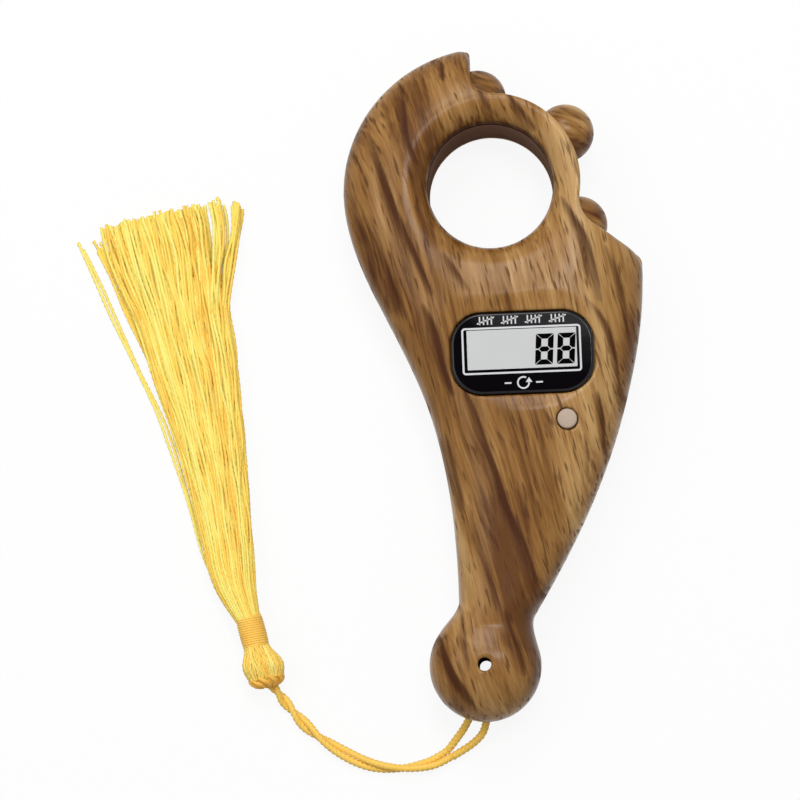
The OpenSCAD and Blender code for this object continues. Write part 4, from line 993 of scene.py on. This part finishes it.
def plate(outline, z, thick):
    """A thin flat shape on the display window."""
    outline = np.asarray(outline, float)
    n = len(outline)
    points = np.concatenate([np.column_stack([outline, np.full(n, height)]) for height in (z, z + thick)])
    j = np.arange(n)
    k = (j + 1) % n
    sides = np.stack([j, k, k + n, j + n], -1)
    return points, [sides, np.arange(n, 2 * n)[None, :], np.arange(n)[::-1][None, :]]


def band(path, width, closed=False):
    """A line of that width along a flat path, as one outline for each stretch."""
    path = np.asarray(path, float)
    if closed:
        ends = np.roll(path, -1, 0)
        heading = np.gradient(np.concatenate([path[-1:], path, path[:1]]), axis=0)[1:-1]
    else:
        ends, heading = path[1:], np.gradient(path, axis=0)
    heading /= np.linalg.norm(heading, axis=1)[:, None]
    side = np.stack([-heading[:, 1], heading[:, 0]], -1) * width / 2
    other = np.roll(side, -1, 0) if closed else side[1:]
    return [np.array([b + o, a + s, a - s, b - o])[::-1]
            for a, b, s, o in zip(path[:len(ends)], ends, side[:len(ends)], other)]


# The display's print: the frame line, the panel, the digits, the tallies above and the reset sign below
PRINT_T, LENS_ROUND = 0.03, 0.5
FRAME_W, FRAME_H, FRAME_R, FRAME_LINE, FRAME_AT = 19.1, 7.4, 0.4, 0.31, (4.15, -27.95)
PANEL_W, PANEL_H, PANEL_R, PANEL_AT = 17.85, 6.5, 0.15, (4.2, -27.78, 0)
DIGITS_X, DIGITS_Y = (7.86, 11.4), -28.0
TALLIES_X, TALLY_LOW, TALLY_HIGH = (-1.55, 2.35, 6.25, 10.15), -23.65, -22.3
TALLY_STEP, TALLY_LINE = 0.64, 0.22
RESET_AT, RESET_R, RESET_LINE, DASHES_X, DASH_LEN = (4.25, -33.35), 0.92, 0.26, (1.2, 6.3), 1.1


def display_marks():
    """Four tallies of five strokes, and a turning arrow between two dashes."""
    marks = []
    for x in TALLIES_X:
        for i in range(4):
            stroke = x + (i - 1.5) * TALLY_STEP
            marks += band([(stroke, TALLY_LOW), (stroke, TALLY_HIGH)], TALLY_LINE)
        marks += band([(x - 1.4, TALLY_LOW + 0.15), (x + 1.4, TALLY_HIGH - 0.15)], TALLY_LINE)
    marks += band(arc(RESET_AT, RESET_R, 60, 360, 28), RESET_LINE)
    marks.append(np.add(RESET_AT, [(RESET_R - 0.55, 0.05), (RESET_R + 0.55, 0.05), (RESET_R, 0.85)]))
    for x in DASHES_X:
        marks += band([(x, RESET_AT[1]), (x + DASH_LEN, RESET_AT[1])], RESET_LINE)
    return marks


def make_display(black, edge, grey, ink, white):
    """The polished black window with its rounded edge, and its print."""
    bottom = LENS_FLOOR + 0.02
    top = bottom + LENS_T
    under = [(0.3, bottom), (0.05, bottom), (0, bottom + 0.05)]
    turn = [(LENS_ROUND * (1 - math.cos(a)), top - LENS_ROUND * (1 - math.sin(a)))
            for a in np.radians(np.linspace(0, 90, 8))]
    profile = [*under, *turn, (0.6, top + 0.01)]
    window = pillow(LENS_W, LENS_H, LENS_R, profile, (LENS_X, LENS_Y, 0))
    made = dress(piece("display_window", *window, "counter", "window_black", "display_lens"), black, edge)
    row = np.arange(len(made.data.polygons)) // (4 * CORNER_STEPS)
    rounded = (row >= len(under)) & (row < len(under) + len(turn) - 1)
    made.data.polygons.foreach_set("material_index", rounded.astype(np.int32))

    def printed(name, outlines, z, slot, material):
        flat = join([plate(o, z, PRINT_T) for o in outlines])
        dress(piece(name, *flat, "counter", slot, smooth=False), material)

    z = top + 0.01
    frame_line = band(outline_box(FRAME_W, FRAME_H, FRAME_R, 6) + FRAME_AT, FRAME_LINE, True)
    printed("display_frame", frame_line, z, "panel_glass", white)
    profile = [(0.1, z - 0.02), (0, z - 0.01), (0, z + 0.02), (0.03, z + PRINT_T), (0.06, z + PRINT_T)]
    panel = pillow(PANEL_W, PANEL_H, PANEL_R, profile, PANEL_AT)
    dress(piece("display_face", *panel, "counter", "panel_glass"), grey)
    strokes = [o for x in DIGITS_X for o in digit(x, DIGITS_Y)]
    printed("display_digits", strokes, z + PRINT_T, "window_black", ink)
    printed("display_marks", display_marks(), z, "panel_glass", white)


def digit(x, y):
    """The seven strokes of an eight, mitred at the corners and leaning a little."""
    a, b, t, u, gap = 1.45, 2.53, 0.92, 0.82, 0.09
    end = [(gap - a, b), (t + gap / 2 - a, b - u), (a - t - gap / 2, b - u), (a - gap, b)]
    bar = [(gap * 1.5 + t / 2 - a, 0), (t + gap / 2 - a, -u / 2), (a - t - gap / 2, -u / 2),
           (a - t / 2 - gap * 1.5, 0), (a - t - gap / 2, u / 2), (t + gap / 2 - a, u / 2)]
    post = [(a, b - gap), (a - t, b - u - gap / 2), (a - t, u / 2 + gap), (a - t / 2, gap), (a, gap * 1.5)]
    end, bar, post = np.array(end), np.array(bar), np.array(post)
    made = [end, -end, bar, post, -post, (post * (-1, 1))[::-1], (post * (1, -1))[::-1]]
    return [m + np.stack([0.07 * m[:, 1], 0 * m[:, 1]], -1) + (x, y) for m in made]


def make_button(material):
    """The reset button: a cap with a rounded top, on a flange that keeps it in the body."""
    top, high, low = BUTTON_TOP, BUTTON_FLANGE_TOP, BUTTON_FLANGE_TOP - 0.8
    wide = BUTTON_FLANGE_R
    profile = [(0, low), (wide - 0.1, low), (wide, low + 0.1), (wide, high - 0.1), (wide - 0.1, high),
               (BUTTON_R + 0.1, high), (BUTTON_R, high + 0.1)]
    profile += [(BUTTON_R - 0.3 * (1 - math.cos(a)), top - 0.3 + 0.26 * math.sin(a))
                for a in np.radians(np.linspace(0, 90, 7))]
    profile += [(BUTTON_R * 0.6, top - 0.01), (BUTTON_R * 0.3, top), (0, top)]
    points, faces = turned(profile, 48)
    points = points + (BUTTON_X, BUTTON_Y, 0)
    dress(piece("reset_cap", points, faces, "reset_button", "button_beige", "reset_button"), material)


def screw_head(x, y, z):
    """A round head with a cross cut, its top at height 0."""
    rho = np.hypot(x, y)
    d = smax(smax(rho - SCREW_HEAD_R + 0.02, z, 0.3), -z - SCREW_HEAD_H, 0.15)
    reach = 1.05 + 0.25 * z
    cross = np.minimum(np.maximum(np.abs(x) - 0.24, np.abs(y) - reach),
                       np.maximum(np.abs(y) - 0.24, np.abs(x) - reach))
    return smax(d, -np.maximum(cross, -0.7 - z), 0.1)


# The battery cover's grip: three grooves across, their middle, half length, pitch and half width
GRIP_Y, GRIP_HALF, GRIP_PITCH, GRIP_LINE = 3.6, 2.6, 1.3, 0.25


def make_back_fittings(cover_material, steel):
    """The battery cover, its screw and the body's screws."""
    def cover(x, y, z):
        d = smax(cover_field(x, y), -BACK_H - z, 0.5)
        d = smax(d, z + BACK_H - COVER_T + 0.02, 0.3)
        hole = np.hypot(x - TAB_X, y - TAB_Y)
        d = smax(d, -np.maximum(hole - SCREW_HEAD_R - ROOM, z + BACK_H - COVER_T / 2), 0.25)
        along_grip = y - CELL_Y - GRIP_Y
        groove = np.abs((along_grip / GRIP_PITCH + 1.5) % 1 - 0.5) * GRIP_PITCH - GRIP_LINE
        grip = largest(np.abs(x - CELL_X) - GRIP_HALF, groove, np.abs(along_grip) - 1.9)
        d = smax(d, -np.maximum(grip, z + BACK_H - 0.25), 0.25)
        return np.maximum(d, SCREW_R + ROOM - hole)

    points, quads = skin(cover, (-4, -59.5, -8), (11.6, -38.3, -5.6), 0.22)
    dress(piece("cover_plate", points, quads, "counter", "wood_grain", "battery_cover"), cover_material)
    head, quads = skin(screw_head, (-2, -2, -1.5), (2, 2, 0.3), 0.1)
    down = head * (1, -1, -1)

    def shank(x, y, low, high):
        points, faces = turned([(0, low), (SCREW_R - 0.1, low), (SCREW_R, low + 0.1), (SCREW_R, high - 0.5),
                                (SCREW_R * 0.4, high), (0, high)], 28)
        return points + (x, y, 0), faces

    parts = []
    for x, y in SHELL_SCREWS:
        parts.append((down + (x, y, -SCREW_SINK - SCREW_HEAD_H), quads))
        parts.append(shank(x, y, -SCREW_SINK - 0.3, SCREW_END))
    dress(piece("body_screws", *join(parts), "counter", "screw_steel", "shell_screws"), steel)
    low_head = down * (1, 1, 0.5)
    parts = [(low_head + (TAB_X, TAB_Y, -BACK_H + 0.1), quads),
             shank(TAB_X, TAB_Y, -BACK_H + 0.5, TAB_SCREW_END)]
    dress(piece("cover_screw", *join(parts), "counter", "screw_steel", "battery_cover_screw"), steel)


# Build
make_camera()
gold = yarn("yarn_cord", srgb(255, 186, 66), srgb(255, 208, 92), srgb(255, 230, 126))
make_cords(gold)
make_stage()
make_head(yarn("yarn_head", srgb(255, 200, 82), srgb(255, 222, 106), srgb(255, 240, 142), True),
          yarn("yarn_cap", srgb(255, 176, 58), srgb(255, 196, 80), srgb(255, 214, 104)))
make_binding(yarn("yarn_binding", srgb(255, 180, 66), srgb(255, 206, 94), srgb(255, 230, 126)))
make_skirt(yarn("yarn_skirt", srgb(255, 203, 80), srgb(255, 229, 106), srgb(255, 244, 136), True))

body_wood = wood("wood_body", -13.6, marked=True)
# The holes' walls get wood_shade, a dark, dull painted shade.
make_body(body_wood, moulded("wood_shade", srgb(76, 41, 16), 0.7, 0.1, Specular_IOR_Level=0.0))
# deep darkens the beads' grain all over: painted shade for the beads that sit inside the window.
make_wheel(wood("wood_bead", -66, shift=(0.05, 0.02, 0.01), fine=0.55, bold=1.3, deep=0.16),
           moulded("dark_lining", srgb(148, 118, 100), 0.5, 0.1, Specular_IOR_Level=0.0))
make_display(moulded("window_black", srgb(4, 2, 5), 0.12, 0.1, Specular_IOR_Level=0.025),
             moulded("window_edge", srgb(4, 2, 5), 0.2, 0.1, Specular_IOR_Level=0.28),
             moulded("display_grey", srgb(203, 204, 204), 0.4, 0.012, Specular_IOR_Level=0.03),
             moulded("display_ink", srgb(8, 7, 8), 0.4, 0.05, Specular_IOR_Level=0.0),
             moulded("print_white", srgb(214, 214, 216), 0.45, 0.03, Specular_IOR_Level=0.1))
make_button(moulded("button_beige", srgb(182, 161, 142), 0.42, 0.04, Specular_IOR_Level=0.25))
steel = metal("plated_steel", srgb(196, 196, 194), 0.28)
make_back_fittings(body_wood, steel)

brass = metal("spring_brass", srgb(205, 170, 96), 0.3)
INNER = {
    "wheel_hub": moulded("hub_plastic", srgb(92, 66, 46), 0.45, 0.1),
    "display_panel": moulded("panel_glass", srgb(196, 198, 196), 0.15, 0.03),
    "contact_strips": moulded("strip_rubber", srgb(52, 52, 56), 0.7, 0.12),
    "circuit_board": moulded("board_green", srgb(38, 104, 62), 0.4, 0.15),
    "chip_cap": moulded("cap_resin", srgb(24, 24, 25), 0.2, 0.1),
    "board_screws": steel, "reset_dome": steel, "button_cell": steel,
    "click_spring": brass, "count_contact": brass, "cell_clip_positive": brass, "cell_spring_negative": brass,
}
for node, material in INNER.items():
    dress(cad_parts[node], material)
